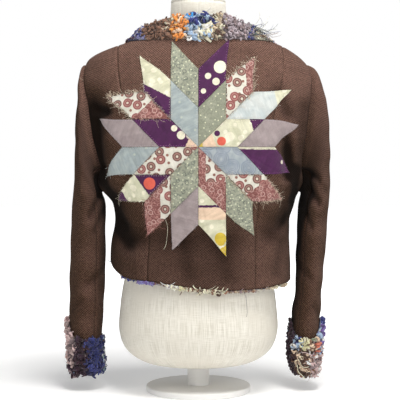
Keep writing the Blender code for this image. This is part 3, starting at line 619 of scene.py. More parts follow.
# Loose threads: where each starts and ends, how it bows between, its radius and its color
LOOSE_THREADS = (
    ((0.196, -0.020, 0.071), (0.215, -0.027, 0.040), (-0.004, -0.006, 0.0), 0.0006, "peach"),
    ((0.199, -0.022, 0.066), (0.219, -0.028, 0.052), (-0.003, -0.007, -0.006), 0.0005, "cream"),
    ((0.196, -0.018, 0.055), (0.210, -0.026, 0.030), (-0.004, -0.006, 0.0), 0.0006, "cream"),
    ((0.205, -0.026, 0.080), (0.226, -0.022, 0.072), (0.000, -0.008, 0.004), 0.0006, "blush"),
    ((-0.062, -0.119, 0.348), (-0.066, -0.118, 0.292), (0.006, -0.004, 0.0), 0.00028, "cream"),
    ((0.086, -0.118, 0.212), (0.091, -0.116, 0.163), (0.004, -0.003, 0.0), 0.00028, "aubergine"),
    ((-0.232, -0.052, 0.622), (-0.224, -0.060, 0.616), (0.0, -0.002, 0.001), 0.00028, "beige"),
)

# How far each outer diamond's tip lies from its regular place, to the right and up
TIP_REACH = 0.034
TIP_SHIFTS = (
    ("star_outer_01", 0.0019, 0.0025),
    ("star_outer_02", 0.0066, 0.0064),
    ("star_outer_03", 0.0032, -0.0061),
    ("star_outer_04", 0.0044, 0.0055),
    ("star_outer_05", 0.0026, -0.0092),
    ("star_outer_06", -0.0090, 0.0027),
    ("star_outer_07", -0.0086, 0.0041),
    ("star_outer_08", 0.0033, 0.0086),
    ("star_outer_09", 0.0010, -0.0086),
    ("star_outer_10", 0.0019, 0.0000),
    ("star_outer_11", 0.0062, 0.0070),
    ("star_outer_12", 0.0094, 0.0024),
    ("star_outer_13", 0.0090, -0.0035),
    ("star_outer_14", -0.0051, 0.0034),
    ("star_outer_15", 0.0000, -0.0094),
    ("star_outer_16", -0.0080, -0.0036),
)

# Each diamond: its cloth, how far its edges have frayed, its bands and its discs. A band is another
# cloth where the distance from the diamond's middle, in a direction given in degrees clockwise
# from its tip, lies between two values. A disc is a color, a place to the right of the middle and
# towards the tip, and a radius.
PATCHES = {
    "star_inner_1": ("sage_dots", 0.0, (), ()),
    "star_inner_2": (
        "cream_green",
        0.0,
        (("plum", 4, 0.041, 1), ("peach", 180, 0.036, 0.059), ("mustard", 180, 0.059, 1)),
        (
            ("plum", -0.010, -0.026, 0.0055),
            ("coral", 0.0070, -0.0240, 0.0085),
            ("cream", 0.0050, -0.0060, 0.0090),
            ("cream", 0.0150, 0.0120, 0.0050),
            ("cream", -0.0120, 0.0120, 0.0035),
        ),
    ),
    "star_inner_3": ("blue_rings", 0.0, (), ()),
    "star_inner_4": (
        "maroon_rings", 0.1, (("cream_rings", -67, -0.012, 1), ("maroon_rings", 22, 0.003, 1)), ()
    ),
    "star_inner_5": ("sage_print", 0.0, (), ()),
    "star_inner_6": ("cream_rings", 0.1, (), ()),
    "star_inner_7": (
        "plum",
        0.0,
        (("peach", 180, 0.046, 1),),
        (
            ("cream", 0.0150, -0.0130, 0.0060),
            ("cream", 0.0080, -0.0300, 0.0080),
            ("cream", 0.0120, -0.0440, 0.0050),
        ),
    ),
    "star_inner_8": ("blue_plain", 0.0, (), ()),
    "star_outer_01": ("sage_print", 0.1, (), ()),
    "star_outer_02": (
        "plum",
        0.0,
        (),
        (
            ("cream", 0.0080, 0.0180, 0.0115),
            ("cream", -0.0060, -0.0060, 0.0060),
            ("cream", 0.0120, -0.0100, 0.0070),
            ("cream", -0.0030, -0.0360, 0.0050),
        ),
    ),
    "star_outer_03": ("cream_rings", 0.9, (("maroon_rings", 63, 0.013, 1),), ()),
    "star_outer_04": ("blue_pale", 0.0, (("cream_green", 10, 0.036, 1),), ()),
    "star_outer_05": ("lilac_plain", 0.0, (), ()),
    "star_outer_06": ("plum", 0.1, (("cream_green", -112, 0.0215, 1),), (("cream", -0.009, 0.030, 0.004),)),
    "star_outer_07": ("cream_rings", 0.8, (("maroon_rings", 33, -0.004, 1),), ()),
    "star_outer_08": ("sage_print", 0.1, (), ()),
    "star_outer_09": (
        "cream_green",
        0.0,
        (("plum", 22, -0.027, -0.0225), ("peach", 22, -0.0225, 0.001), ("mustard", -4, 0.052, 1)),
        (("mustard", -0.0010, 0.0380, 0.0110),),
    ),
    "star_outer_10": ("lilac_plain", 0.0, (), ()),
    "star_outer_11": ("maroon_rings", 0.5, (("cream_rings", -112, 0.006, 1),), ()),
    "star_outer_12": (
        "cream_green",
        0.4,
        (("plum", 165, 0.009, 1), ("plum", -15, 0.038, 1)),
        (("coral", 0.0000, -0.0240, 0.0115), ("cream", 0.004, 0.010, 0.006)),
    ),
    "star_outer_13": ("blue_plain", 0.2, (), ()),
    "star_outer_14": ("lilac_plain", 0.0, (), ()),
    "star_outer_15": ("cream_rings", 1.0, (("maroon_rings", -155, 0.011, 1),), ()),
    "star_outer_16": (
        "cream_green",
        0.2,
        (("plum", -130, 0.008, 1),),
        (("cream", -0.004, 0.012, 0.0055), ("cream", 0.008, 0.030, 0.0050), ("cream", 0.010, 0.004, 0.004)),
    ),
}

# A slot name for each diamond, after its cloth, but the last one's is after its plum band, which covers most
# of it
PATCH_SLOTS = {name: "patch_" + cloth.split("_")[0] for name, (cloth, *_) in PATCHES.items()}
PATCH_SLOTS["star_outer_16"] = "patch_plum"

# How far a print's edge wanders, and how soft it is
WOBBLE = 0.0015
PRINT_EDGE = 0.0002

# Each cotton's ground in its deeper and its paler places, its sewing thread and its frayed ends
COTTON = {
    "sage_dots": ((0.265, 0.275, 0.205), (0.315, 0.325, 0.245), (170, 170, 140), (165, 165, 130)),
    "sage_print": ((0.29, 0.30, 0.225), (0.36, 0.37, 0.28), (190, 170, 140), (165, 150, 120)),
    "blue_rings": ((0.30, 0.345, 0.370), (0.37, 0.405, 0.420), (200, 205, 205), (190, 200, 205)),
    "blue_plain": ((0.30, 0.350, 0.355), (0.37, 0.415, 0.405), (215, 210, 205), (205, 205, 200)),
    "blue_pale": ((0.48, 0.53, 0.525), (0.60, 0.625, 0.60), (215, 205, 185), (225, 225, 215)),
    "lilac_plain": ((0.295, 0.240, 0.238), (0.345, 0.285, 0.282), (190, 180, 185), (165, 155, 155)),
    "cream_rings": ((0.62, 0.60, 0.51), (0.70, 0.67, 0.59), (200, 190, 170), (225, 205, 180)),
    "maroon_rings": ((0.20, 0.065, 0.060), (0.42, 0.22, 0.19), (190, 150, 140), (170, 110, 95)),
    "cream_green": ((0.56, 0.55, 0.385), (0.68, 0.66, 0.49), (215, 200, 190), (225, 215, 185)),
    "cream": ((0.72, 0.68, 0.52), (0.80, 0.76, 0.60), (215, 200, 190), (225, 215, 185)),
    "plum": ((0.056, 0.008, 0.054), (0.072, 0.011, 0.070), (165, 90, 160), (110, 50, 100)),
    "peach": ((0.72, 0.53, 0.38), (0.80, 0.60, 0.43), (220, 200, 160), (225, 210, 175)),
    "mustard": ((0.56, 0.40, 0.040), (0.62, 0.46, 0.055), (220, 200, 160), (225, 210, 175)),
    "coral": ((0.62, 0.105, 0.065), (0.70, 0.125, 0.080), (220, 200, 160), (225, 210, 175)),
}


def columns(table):
    """A table's rows below its heading, as one array for each named column."""
    names, *rows = table
    return dict(zip(names, np.array(rows, float).T))


def smooth(at, places, values):
    """A curve through the values that never overshoots them."""
    at = np.clip(at, places[0], places[-1])
    rise = np.diff(values) / np.diff(places)
    both = rise[1:] * rise[:-1]
    total = np.where(both > 0, rise[1:] + rise[:-1], 1.0)
    slope = np.concatenate(([rise[0]], np.where(both > 0, 2 * both / total, 0), [rise[-1]]))
    cell = np.clip(np.searchsorted(places, at, side="right") - 1, 0, len(places) - 2)
    length = places[cell + 1] - places[cell]
    t = (at - places[cell]) / length
    start = values[cell] * (1 + 2 * t) * (1 - t) ** 2 + slope[cell] * length * t * (1 - t) ** 2
    end = values[cell + 1] * t * t * (3 - 2 * t) + slope[cell + 1] * length * t * t * (t - 1)
    return start + end


GIRTHS = columns(GIRTH)
SEAM_COLUMNS = columns(SEAMS)
FRONT_COLUMNS = columns(FRONT_EDGE)
HEM_COLUMNS = columns(HEM_LINE)


def girth(name, height):
    """One of the garment surface's half widths or depths at a height."""
    return smooth(height, GIRTHS["height"], GIRTHS[name])


def side_word(side):
    return "left" if side < 0 else "right"


def side_width(side, height):
    return girth(side_word(side), height)


def bump(away, width):
    """1 at a place, and less and less over about twice the width."""
    return np.exp(-((away / width) ** 2))


def line_folds(x, z, table):
    """How far the soft folds of a table push the cloth out or in at a place."""
    total = np.zeros(np.shape(x))
    for from_x, from_z, to_x, to_z, width, depth in table[1:]:
        run_x, run_z = to_x - from_x, to_z - from_z
        along = ((x - from_x) * run_x + (z - from_z) * run_z) / (run_x**2 + run_z**2)
        nearest = np.clip(along, 0, 1)
        away = np.hypot(x - from_x - nearest * run_x, z - from_z - nearest * run_z)
        total += depth * bump(away, width)
    return total


def ripple(u, v, seed, length, depth):
    """A gentle unevenness of the cloth, with swells about one length across."""
    random = np.random.default_rng(seed)
    total = np.zeros(np.shape(u))
    for _ in range(7):
        heading, start = random.uniform(0, math.tau, 2)
        pitch = math.tau / (length * random.uniform(0.7, 1.5))
        total += np.sin(pitch * (u * math.cos(heading) + v * math.sin(heading)) + start)
    return depth * total / 3


def body_folds(x, z, cosine):
    """How far all the folds push the body's cloth out, behind where the cosine is positive."""
    behind = np.clip(0.5 + 2.5 * cosine, 0, 1)
    back, front = line_folds(x, z, BACK_CREASES), line_folds(x, z, FRONT_CREASES)
    return line_folds(x, z, FOLDS) + behind * back + (1 - behind) * front


def painted_shade(fold, shade_line_share):
    """A tint for each place: how far painted shade darkens it, deep in a fold or along a line of painted
    shade.
    """
    share = np.clip(np.clip(-fold / FULL_SHADE_DEPTH, 0, 1) + shade_line_share, 0, 1).reshape(-1, 1)
    return np.repeat(np.concatenate((share, share)), 3, axis=1)


def surface(theta, height, creased=True):
    """The garment's outer surface at an angle round the body and a height."""
    theta, height = np.broadcast_arrays(np.asarray(theta, float), np.asarray(height, float))
    sine, cosine = np.sin(theta), np.cos(theta)
    width = np.where(sine < 0, girth("left", height), girth("right", height))
    depth = np.where(cosine > 0, girth("back", height), girth("front", height))
    power = 2 / SQUARENESS
    x = width * np.sign(sine) * np.abs(sine) ** power
    y = -depth * np.sign(cosine) * np.abs(cosine) ** power
    fade = np.clip(1 - (height - HEM) / HEM_FADE, 0, 1) ** 1.5
    rise = smooth(np.degrees(theta), HEM_COLUMNS["angle"], HEM_COLUMNS["rise"])
    z = height + rise * fade
    fold = body_folds(x, z, cosine) if creased else line_folds(x, z, FOLDS)
    if creased:
        fold = fold + ripple(theta * 0.15, z, SEEDS["cloth"], 0.05, 0.0004)
    return np.stack((x + fold * sine, y - fold * cosine, z), -1)


def outward(theta, height):
    """The surface's normal, away from the body."""
    step_angle, step_height = 0.01, 0.002
    across = surface(theta + step_angle, height) - surface(theta - step_angle, height)
    up = surface(theta, height + step_height) - surface(theta, height - step_height)
    return unit(np.cross(across, up))


def angle_at(side, x, height):
    """The angle on the back at which the surface is a distance x from the middle."""
    share = np.clip(np.asarray(x) / side_width(side, height), 0, 1)
    return side * np.arcsin(share ** (SQUARENESS / 2))


def front_angle_at(side, x, height):
    """The same on the front, from the centre front."""
    return side * math.pi - angle_at(side, x, height)


def half_gap(theta, height):
    """Half a seam's gap as an angle, at a place on the surface."""
    near = 0.01
    ends = [surface(theta + step, height, creased=False) for step in (near, -near)]
    return SEAM_GAP * near / np.linalg.norm(ends[0] - ends[1], axis=-1)


def spread(count, crowding=0.75):
    """Shares from 0 to 1, closer together at both ends."""
    share = np.linspace(0, 1, count)
    return (1 - crowding) * share + crowding * (1 - np.cos(math.pi * share)) / 2


def between(first, last, share):
    """Rows of values that each run from one edge's to the other's."""
    return first[:, None] * (1 - share) + last[:, None] * share


def lengths(grid, axis):
    """The distance along a grid of points from its first row or column."""
    steps = np.linalg.norm(np.diff(grid, axis=axis), axis=-1)
    start = np.zeros_like(np.take(steps, [0], axis=axis))
    return np.concatenate((start, np.cumsum(steps, axis=axis)), axis=axis)


def unit(vectors):
    return vectors / np.maximum(np.linalg.norm(vectors, axis=-1, keepdims=True), 1e-9)


def take_place(made, name):
    """Let a finished object stand for the solid of a name, which is hidden."""
    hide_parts(name)
    return made


def add_mesh(name, points, face_groups, material, uv=None, tint=None):
    """A smooth object from points and groups of faces, each an array of corner numbers.

    The uv array has one row for each corner of each face, and the tint array one for each point.
    """
    mesh = bpy.data.meshes.new(name)
    corners = np.concatenate([faces.ravel() for faces in face_groups]).astype(np.int32)
    sizes = np.concatenate([np.full(len(faces), faces.shape[1]) for faces in face_groups])
    starts = np.concatenate(([0], np.cumsum(sizes)[:-1])).astype(np.int32)
    mesh.vertices.add(len(points))
    mesh.vertices.foreach_set("co", points.astype(np.float32).ravel())
    mesh.loops.add(len(corners))
    mesh.loops.foreach_set("vertex_index", corners)
    mesh.polygons.add(len(sizes))
    mesh.polygons.foreach_set("loop_start", starts)
    mesh.update(calc_edges=True)
    mesh.shade_smooth()
    if uv is not None:
        mesh.uv_layers.new(name="cloth").uv.foreach_set("vector", uv.astype(np.float32).ravel())
    if tint is not None:
        colors = np.concatenate((tint, np.ones((len(tint), 1))), axis=1)
        layer = mesh.color_attributes.new("tint", "FLOAT_COLOR", "POINT")
        layer.data.foreach_set("color", colors.astype(np.float32).ravel())
    mesh.materials.append(material)
    made = bpy.data.objects.new(name, mesh)
    bpy.context.scene.collection.objects.link(made)
    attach(made, "root")
    return made


def wall_faces(rows, cols, tube):
    """Faces of a closed wall between an outer grid of points and an inner one numbered after it."""
    outer = np.arange(rows * cols).reshape(rows, cols)
    inner = outer + rows * cols

    def cells(*corners):
        return np.stack(corners, -1).reshape(-1, 4)

    faces = [
        cells(outer[:-1, :-1], outer[:-1, 1:], outer[1:, 1:], outer[1:, :-1]),
        cells(inner[1:, :-1], inner[1:, 1:], inner[:-1, 1:], inner[:-1, :-1]),
        cells(outer[0, 1:], outer[0, :-1], inner[0, :-1], inner[0, 1:]),
        cells(outer[-1, :-1], outer[-1, 1:], inner[-1, 1:], inner[-1, :-1]),
    ]
    if not tube:
        faces.append(cells(outer[:-1, 0], outer[1:, 0], inner[1:, 0], inner[:-1, 0]))
        faces.append(cells(outer[1:, -1], outer[:-1, -1], inner[:-1, -1], inner[1:, -1]))
    return np.concatenate(faces)


def faces_out(points, faces):
    """The faces, turned over if they bound a negative volume."""
    a, b, c, d = (points[faces[:, i]] for i in range(4))
    volume = (a * np.cross(b, c)).sum() + (a * np.cross(c, d)).sum()
    return faces if volume > 0 else faces[:, ::-1]


def add_wall(name, outer, inner, material, tube=False, tint=None):
    """A closed wall of cloth between two grids of points, whose columns meet again on a tube."""
    rows, cols = outer.shape[:2]
    grid = np.concatenate((outer, outer[:, :1]), axis=1) if tube else outer
    wide = grid.shape[1]
    across = lengths(grid, 1)
    up = np.repeat(lengths(grid, 0)[:, wide // 2, None], wide, axis=1)
    uv = np.stack((across - across[:, wide // 2, None], up), -1).reshape(-1, 2)
    layer, place = np.divmod(np.arange(2 * rows * wide), rows * wide)
    row, col = np.divmod(place, wide)
    numbers = layer * rows * cols + row * cols + col % cols
    points = np.concatenate((outer.reshape(-1, 3), inner.reshape(-1, 3)))
    places = wall_faces(rows, wide, tube)
    kept = faces_out(points, numbers[places])
    places = places if np.array_equal(kept, numbers[places]) else places[:, ::-1]
    uv = np.concatenate((uv, uv))[places.ravel()]
    return add_mesh(name, points, [kept], material, uv, tint)


def sewn(points, normals, sides=("first", "last", "top"), hem=True):
    """A panel's outer and inner grids, its sewn edges dipping into their seams."""
    across, up = lengths(points, 1), lengths(points, 0)
    away = {
        "first": across,
        "last": across[:, -1:] - across,
        "top": up[-1] - up,
        "foot": up,
    }
    dip = np.zeros(across.shape)
    for side in sides:
        dip = np.maximum(dip, SEAM_DIP * bump(away[side], SEAM_WIDTH))
    if hem:
        dip = dip + CLOTH * 0.35 * bump(up, CLOTH * 0.5)
    outer = points - dip[..., None] * normals
    inner = points - (CLOTH + 0.4 * dip[..., None]) * normals
    return outer, inner


def armhole_heights(steps):
    """Heights up the oval armhole, closest together at its two ends, and its depth there."""
    share = np.linspace(0, 1, steps + 1)
    middle, half = (UNDERARM + SHOULDER_TIP) / 2, (SHOULDER_TIP - UNDERARM) / 2
    level = 0.65 * np.cos(math.pi * share) + 0.35 * (1 - 2 * share)
    return middle - half * level, ARMHOLE_HALF_DEPTH * np.sqrt(np.clip(1 - level**2, 0, 1))


def armhole_angle(side, height, depth_in, where):
    """The angle at which a body piece ends at the armhole, behind or in front."""
    share = np.clip(depth_in / girth(where, height), 0, 1)
    back = np.arccos(share ** (SQUARENESS / 2))
    return side * (back if where == "back" else math.pi - back)


def outer_edge():
    """Heights and armhole depths along a body piece's outer edge, from the hem to the tip."""
    edge_rows = HEM + (UNDERARM - HEM) * np.concatenate(([0, 0.003, 0.007], np.linspace(0.02, 1, 46)))
    below = edge_rows[:-1]
    heights, depths = armhole_heights(ARMHOLE_STEPS)
    return np.concatenate((below, heights)), np.concatenate((0 * below, depths))


def seam_top(side, shift):
    """The height at which a princess seam meets the shoulder seam."""
    heights = np.linspace(0.655, NECK_EDGE, 2000)
    gap = side_width(side, heights) - seam_distance(side, heights) - shift
    return heights[np.argmin(np.abs(gap))]


def seam_distance(side, height):
    """How far a princess seam lies from the centre back at a height."""
    return smooth(height, SEAM_COLUMNS["height"], SEAM_COLUMNS[side_word(side)])


def seam_rows(side, shift):
    """Heights and angles down a princess seam, a small shift to its outer side."""
    outer_heights = outer_edge()[0]
    stretch = (seam_top(side, shift) - HEM) / (SHOULDER_TIP - HEM)
    heights = HEM + (outer_heights - HEM) * stretch
    angles = angle_at(side, seam_distance(side, heights) + shift, heights)
    limit = QUARTER - half_gap(side * QUARTER, heights)
    return heights, side * np.minimum(np.abs(angles), limit)


def add_back_centre():
    """The panel between the two princess seams, up to the neck."""
    shoulder = np.array([SHOULDER_STEP, (SHOULDER_STEP + NECK_EDGE) / 2, NECK_EDGE])
    edges = []
    for side in (-1, 1):
        heights, angles = seam_rows(side, -SEAM_GAP / 2)
        limit = side * (QUARTER - half_gap(side * QUARTER, shoulder))
        edges.append((np.concatenate((heights, shoulder)), np.concatenate((angles, limit))))
    (left_h, left_a), (right_h, right_a) = edges
    across = 2 * spread(85) - 1
    height = between(left_h, right_h, (across + 1) / 2)
    theta = np.where(across < 0, -left_a[:, None] * across, right_a[:, None] * across)
    return add_panel("back_centre", theta, height)


def add_back_side(side, name):
    """The panel from a princess seam to the armhole and the side seam."""
    inner_h, inner_a = seam_rows(side, SEAM_GAP / 2)
    outer_h, depths = outer_edge()
    outer_a = armhole_angle(side, outer_h, depths, "back")
    outer_a = outer_a - side * half_gap(outer_a, outer_h)
    share = spread(43)
    return add_panel(name, between(inner_a, outer_a, share), between(inner_h, outer_h, share))


def add_front(side, name):
    """The front panel, from the side seam and the armhole to its front edge."""
    outer_h, depths = outer_edge()
    shoulder = np.linspace(SHOULDER_TIP, NECK_EDGE, 14)[1:]
    heights = np.concatenate((outer_h, shoulder))
    outer_a = armhole_angle(side, heights, np.concatenate((depths, 0 * shoulder)), "front")
    outer_a = outer_a + side * half_gap(outer_a, heights)
    half_gap_x = smooth(heights, FRONT_COLUMNS["height"], FRONT_COLUMNS["half_gap"])
    inner_a = front_angle_at(side, half_gap_x, heights)
    theta = between(outer_a, inner_a, spread(59))
    height = np.repeat(heights[:, None], theta.shape[1], axis=1)
    return add_panel(name, theta, height, sides=("first", "top"))


def add_panel(name, theta, height, sides=("first", "last", "top")):
    """A body piece of wool between grids of angles and heights."""
    points = surface(theta, height)
    outer, inner = sewn(points, outward(theta, height), sides)
    x, z, cosine = points[..., 0], points[..., 2], np.cos(theta)
    # Painted shade from the folds, and from the shade lines on the back only
    tint = painted_shade(body_folds(x, z, cosine), line_folds(x, z, PAINTED_SHADE_LINES) * (cosine > 0))
    return take_place(add_wall(name, outer, inner, MATERIALS["brown_wool"], tint=tint), name)


def ring_of_edges(side, inner, outer, half_depth, middle_y, turn):
    """Points round a tube from its inner edge over the back to its outer edge and the front."""
    middle, reach = (outer + inner) / 2, (outer - inner) / 2
    x = side * (middle[0] - reach[0] * np.cos(turn))
    z = middle[1] - reach[1] * np.cos(turn)
    y = middle_y - half_depth * np.sin(turn)
    return np.stack((x, y, z), -1)


def sleeve_turns():
    """Angles round a sleeve that match the armhole's heights, from the underarm."""
    heights = armhole_heights(SLEEVE_STEPS)[0]
    level = (heights * 2 - UNDERARM - SHOULDER_TIP) / (SHOULDER_TIP - UNDERARM)
    half = np.arccos(np.clip(-level, -1, 1))
    return np.concatenate((half, half[1:-1] + math.pi))


def armhole_ring(side):
    """The armhole's edge and its normals, from the underarm over the back to the tip and the front."""
    heights, depths = armhole_heights(SLEEVE_STEPS)
    back = armhole_angle(side, heights, depths, "back")
    front = armhole_angle(side, heights, depths, "front")
    theta = np.concatenate((back, front[-2:0:-1]))
    height = np.concatenate((heights, heights[-2:0:-1]))
    return surface(theta, height), outward(theta, height)


def tube_normals(grid):
    """Outward normals of a tube of rings, its columns closed."""
    round_it = np.roll(grid, -1, axis=1) - np.roll(grid, 1, axis=1)
    along = np.gradient(grid, axis=0)
    normal = np.cross(round_it, along)
    away = grid - grid.mean(axis=1, keepdims=True)
    normal *= np.sign((normal * away).sum(axis=(1, 2)))[:, None, None]
    return unit(normal)


def sleeve_rings(side, turn):
    """The rings of a sleeve that the table gives, after the armhole's own edge."""
    edge, _ = armhole_ring(side)
    tip, underarm = edge[SLEEVE_STEPS], edge[0]
    ends = [np.array([abs(place[0]), place[2]]) for place in (underarm, tip)]
    bend = edge - ring_of_edges(side, *ends, ARMHOLE_HALF_DEPTH, 0.0, turn)
    part, word = columns(SLEEVES), side_word(side)
    inners = np.stack((part[f"{word}_inner_x"], part["inner_z"]), -1)
    outers = np.stack((part[f"{word}_outer_x"], part[f"{word}_outer_z"]), -1)
    rings = []
    for index, row in enumerate(zip(inners, outers, part["half_depth"], part["middle_y"])):
        ring = ring_of_edges(side, *row, turn)
        swell = SLEEVE_SWELL * math.sin(math.pi * min(1, (index + 1) / CAP_RINGS))
        ring[:, 0] += side * swell * np.sin(turn) ** 2
        rings.append(ring + bend * BEND_SHARE * BEND_FADE**index)
    leave = rings[0] - edge
    return np.stack([edge + SEAM_GAP * unit(leave)] + rings)


def by_round(table):
    """A sleeve's lines with their turns in degrees made distances round it."""
    scale = math.radians(1) * SLEEVE_ROUND
    names, *lines = table
    return [names] + [(turn * scale, z, to_turn * scale, *rest) for turn, z, to_turn, *rest in lines]


def add_sleeve(side, name, creases, shade_lines):
    """A set-in sleeve's top and under pieces, sewn together down the back and the front."""
    turn = sleeve_turns()
    coarse = sleeve_rings(side, turn)
    rings = np.arange(len(coarse), dtype=float)
    run = lengths(coarse, 0).mean(axis=1)
    at = np.interp(np.linspace(0, 1, SLEEVE_ROWS) ** 1.2 * run[-1], run, rings)
    lines = [smooth(at, rings, line) for line in coarse.reshape(len(coarse), -1).T]
    grid = np.stack(lines, -1).reshape(SLEEVE_ROWS, -1, 3)
    normals = tube_normals(grid)
    edge_normals = armhole_ring(side)[1]
    from_underarm = np.minimum(turn, math.tau - turn)
    share = np.interp(from_underarm, UNDERARM_TURN, (0, 1))[:, None]
    normals[0] = unit(edge_normals * share + normals[0] * (1 - share))
    round_it = np.broadcast_to(turn * SLEEVE_ROUND, grid.shape[:2])
    level = grid[..., 2]
    creased = line_folds(round_it, level, by_round(creases))
    # Painted shade from the sleeve's creases and its shade lines
    shade_share = painted_shade(creased, line_folds(round_it, level, by_round(shade_lines)))
    shade_share = shade_share[: level.size].reshape(grid.shape)
    free = np.clip(lengths(grid, 0) / ARMHOLE_HOLD, 0, 1)
    free = free * np.clip((level - CUFF_HOLD_START) / CUFF_HOLD_RUN, CUFF_HOLD_LEAST, 1)
    push = free * (creased + ripple(grid[..., 1], level, SEEDS[name], 0.06, 0.0009))
    grid = grid + push[..., None] * normals
    seam = UNDER_SLEEVE_STEPS
    made = []
    top, under = np.arange(seam, len(turn) - seam + 1), np.arange(-seam, seam + 1)
    for word, chosen in (("top", top), ("under", under)):
        part = seam_sides(grid[:, chosen])
        outer, inner = sewn(part, normals[:, chosen], ("first", "last", "foot"), hem=False)
        tint = np.concatenate((shade_share[:, chosen].reshape(-1, 3),) * 2)
        piece = add_wall(f"{name}_{word}", outer, inner, MATERIALS["brown_wool"], tint=tint)
        made.append(take_place(piece, f"{name}_{word}"))
    return made


def seam_sides(grid):
    """A grid whose first and last columns are drawn in by half a seam's gap."""
    grid = grid.copy()
    for edge, next_in in ((0, 1), (-1, -2)):
        grid[:, edge] += SEAM_GAP / 2 * unit(grid[:, next_in] - grid[:, edge])
    return grid


def arc_angles(distance, height):
    """The angles at which measures laid round the back from its middle end."""
    steps = np.linspace(0, QUARTER, 160)
    side = np.where(distance < 0, -1.0, 1.0)
    path = surface(side[..., None] * steps, height[..., None], creased=False)
    run = lengths(path, path.ndim - 2)
    after = np.clip((run < np.abs(distance)[..., None]).sum(axis=-1), 1, len(steps) - 1)
    low = np.take_along_axis(run, after[..., None] - 1, -1)[..., 0]
    high = np.take_along_axis(run, after[..., None], -1)[..., 0]
    share = (np.abs(distance) - low) / (high - low)
    return side * (steps[after - 1] + share * (steps[1] - steps[0]))


def star_place(flat, lift):
    """Points over the back from places in the star's own plane, and the normals there."""
    corners = star_corners()
    for name, right, up in TIP_SHIFTS:
        near = np.exp(-((flat - corners[name][2]) ** 2).sum(axis=-1) / TIP_REACH**2)
        flat = flat + near[..., None] * np.array([right, up])
    height = STAR_CENTRE + flat[..., 1]
    theta = arc_angles(flat[..., 0], height)
    normals = outward(theta, height)
    return surface(theta, height) + np.asarray(lift)[..., None] * normals, normals


def star_corners():
    """The four corners of each diamond in the star's own plane, by its name."""
    turns = math.pi / 2 - np.arange(STAR_POINTS + 1) * math.tau / STAR_POINTS
    arms = STAR_SIDE * np.stack((np.cos(turns), np.sin(turns)), -1)
    found = {}
    for index in range(STAR_POINTS):
        here, after = arms[index], arms[index + 1]
        before = arms[index - 1] if index else arms[STAR_POINTS - 1]
        found[f"star_inner_{index + 1}"] = np.array([0 * here, here, here + after, after])
        for place, beside in enumerate((before, after)):
            outer = np.array([here, 2 * here, 2 * here + beside, here + beside])
            found[f"star_outer_{2 * index + place + 1:02d}"] = outer
    return found


def shrunk(corners, inset):
    """A diamond's corners, with its sides moved in by a distance."""
    half_point = math.pi / STAR_POINTS
    middle = corners.mean(axis=0)
    share = inset / (STAR_SIDE * math.sin(half_point) * math.cos(half_point))
    return middle + (corners - middle) * (1 - share)


def in_diamond(corners, first, second):
    """A place in a diamond by its shares along its two sides."""
    first, second = np.asarray(first)[..., None], np.asarray(second)[..., None]
    low = corners[0] + first * (corners[1] - corners[0])
    high = corners[3] + first * (corners[2] - corners[3])
    return low + second * (high - low)


def patch_relief(flat, middle, away, fray, seed):
    """How far a diamond's cotton stands off: its puff, three creases, its seam and its curled edge."""
    random = np.random.default_rng(seed)
    puff = 0.0005 * np.clip(away / 0.008, 0, 1) + ripple(flat[..., 0], flat[..., 1], seed + 50, 0.03, 0.0004)
    for _ in range(3):
        heading, reach = random.uniform(0, math.pi), random.uniform(-0.02, 0.02)
        across = (flat - middle) @ np.array([math.cos(heading), math.sin(heading)]) - reach
        crease = random.uniform(-0.0010, 0.0016) * bump(across, 0.0024)
        puff = puff + crease * np.clip(away / 0.004, 0, 1)
    stitch_dip = 0.0004 * bump(away - STITCH_INSET, 0.0009)
    curl = 0.0012 * bump(away, 0.002) * np.clip(random.normal(0.25 + fray, 0.2), 0, 1.2)
    return PATCH_LIFT + puff - stitch_dip + curl * (0.5 + 0.5 * np.sin(300 * flat.sum(axis=-1) + seed))


def add_patch(name, corners, fray, seed):
    """A diamond of cotton sewn on a little inside its raw edge."""
    middle = corners.mean(axis=0)
    corners = shrunk(corners, PATCH_INSET)
    share = spread(PATCH_STEPS, 0.35)
    first, second = np.meshgrid(share, share, indexing="ij")
    flat = in_diamond(corners, first, second)
    wide = STAR_SIDE * math.sin(math.tau / STAR_POINTS)
    away = np.minimum.reduce((first, 1 - first, second, 1 - second)) * wide
    ragged = ripple(flat[..., 0], flat[..., 1], seed, 0.006, 0.00035 + 0.0012 * fray)
    worn = ragged * (0.4 + fray) - 0.0001 - 0.0008 * fray
    flat = flat + (bump(away, 0.0015) * worn)[..., None] * unit(flat - middle)
    lift = patch_relief(flat, middle, away, fray, seed)
    outer, normals = star_place(flat, lift + PATCH_CLOTH)
    inner = outer - PATCH_CLOTH * normals
    made = add_wall(name, outer, inner, MATERIALS[name])
    along = unit(corners[2] - corners[0])
    own = np.stack(((flat - middle) @ np.array([along[1], -along[0]]), (flat - middle) @ along), -1)
    own = np.concatenate((own.reshape(-1, 2),) * 2)
    numbers = np.empty(len(made.data.loops), np.int32)
    made.data.loops.foreach_get("vertex_index", numbers)
    made.data.uv_layers["cloth"].uv.foreach_set("vector", own[numbers].astype(np.float32).ravel())
    return take_place(made, name)


def tubes(paths, radii, upright, sides, flat=1.0):
    """Points and faces of many strands, each with its own path, radius and upright direction."""
    tangent = unit(np.gradient(paths, axis=1))
    across = unit(np.cross(tangent, upright[:, None]))
    up = np.cross(across, tangent)
    turn = np.linspace(0, math.tau, sides, endpoint=False)[:, None]
    ring = across[:, :, None] * np.cos(turn) + up[:, :, None] * np.sin(turn) * flat
    points = paths[:, :, None] + radii[..., None, None] * ring
    count, steps = paths.shape[:2]
    index = np.arange(count * steps * sides).reshape(count, steps, sides)
    after = np.roll(index, -1, axis=2)
    quads = np.stack((index[:, :-1], index[:, 1:], after[:, 1:], after[:, :-1]), -1).reshape(-1, 4)
    caps = np.concatenate((index[:, 0], index[:, -1, ::-1]))
    return points.reshape(-1, 3), quads, caps


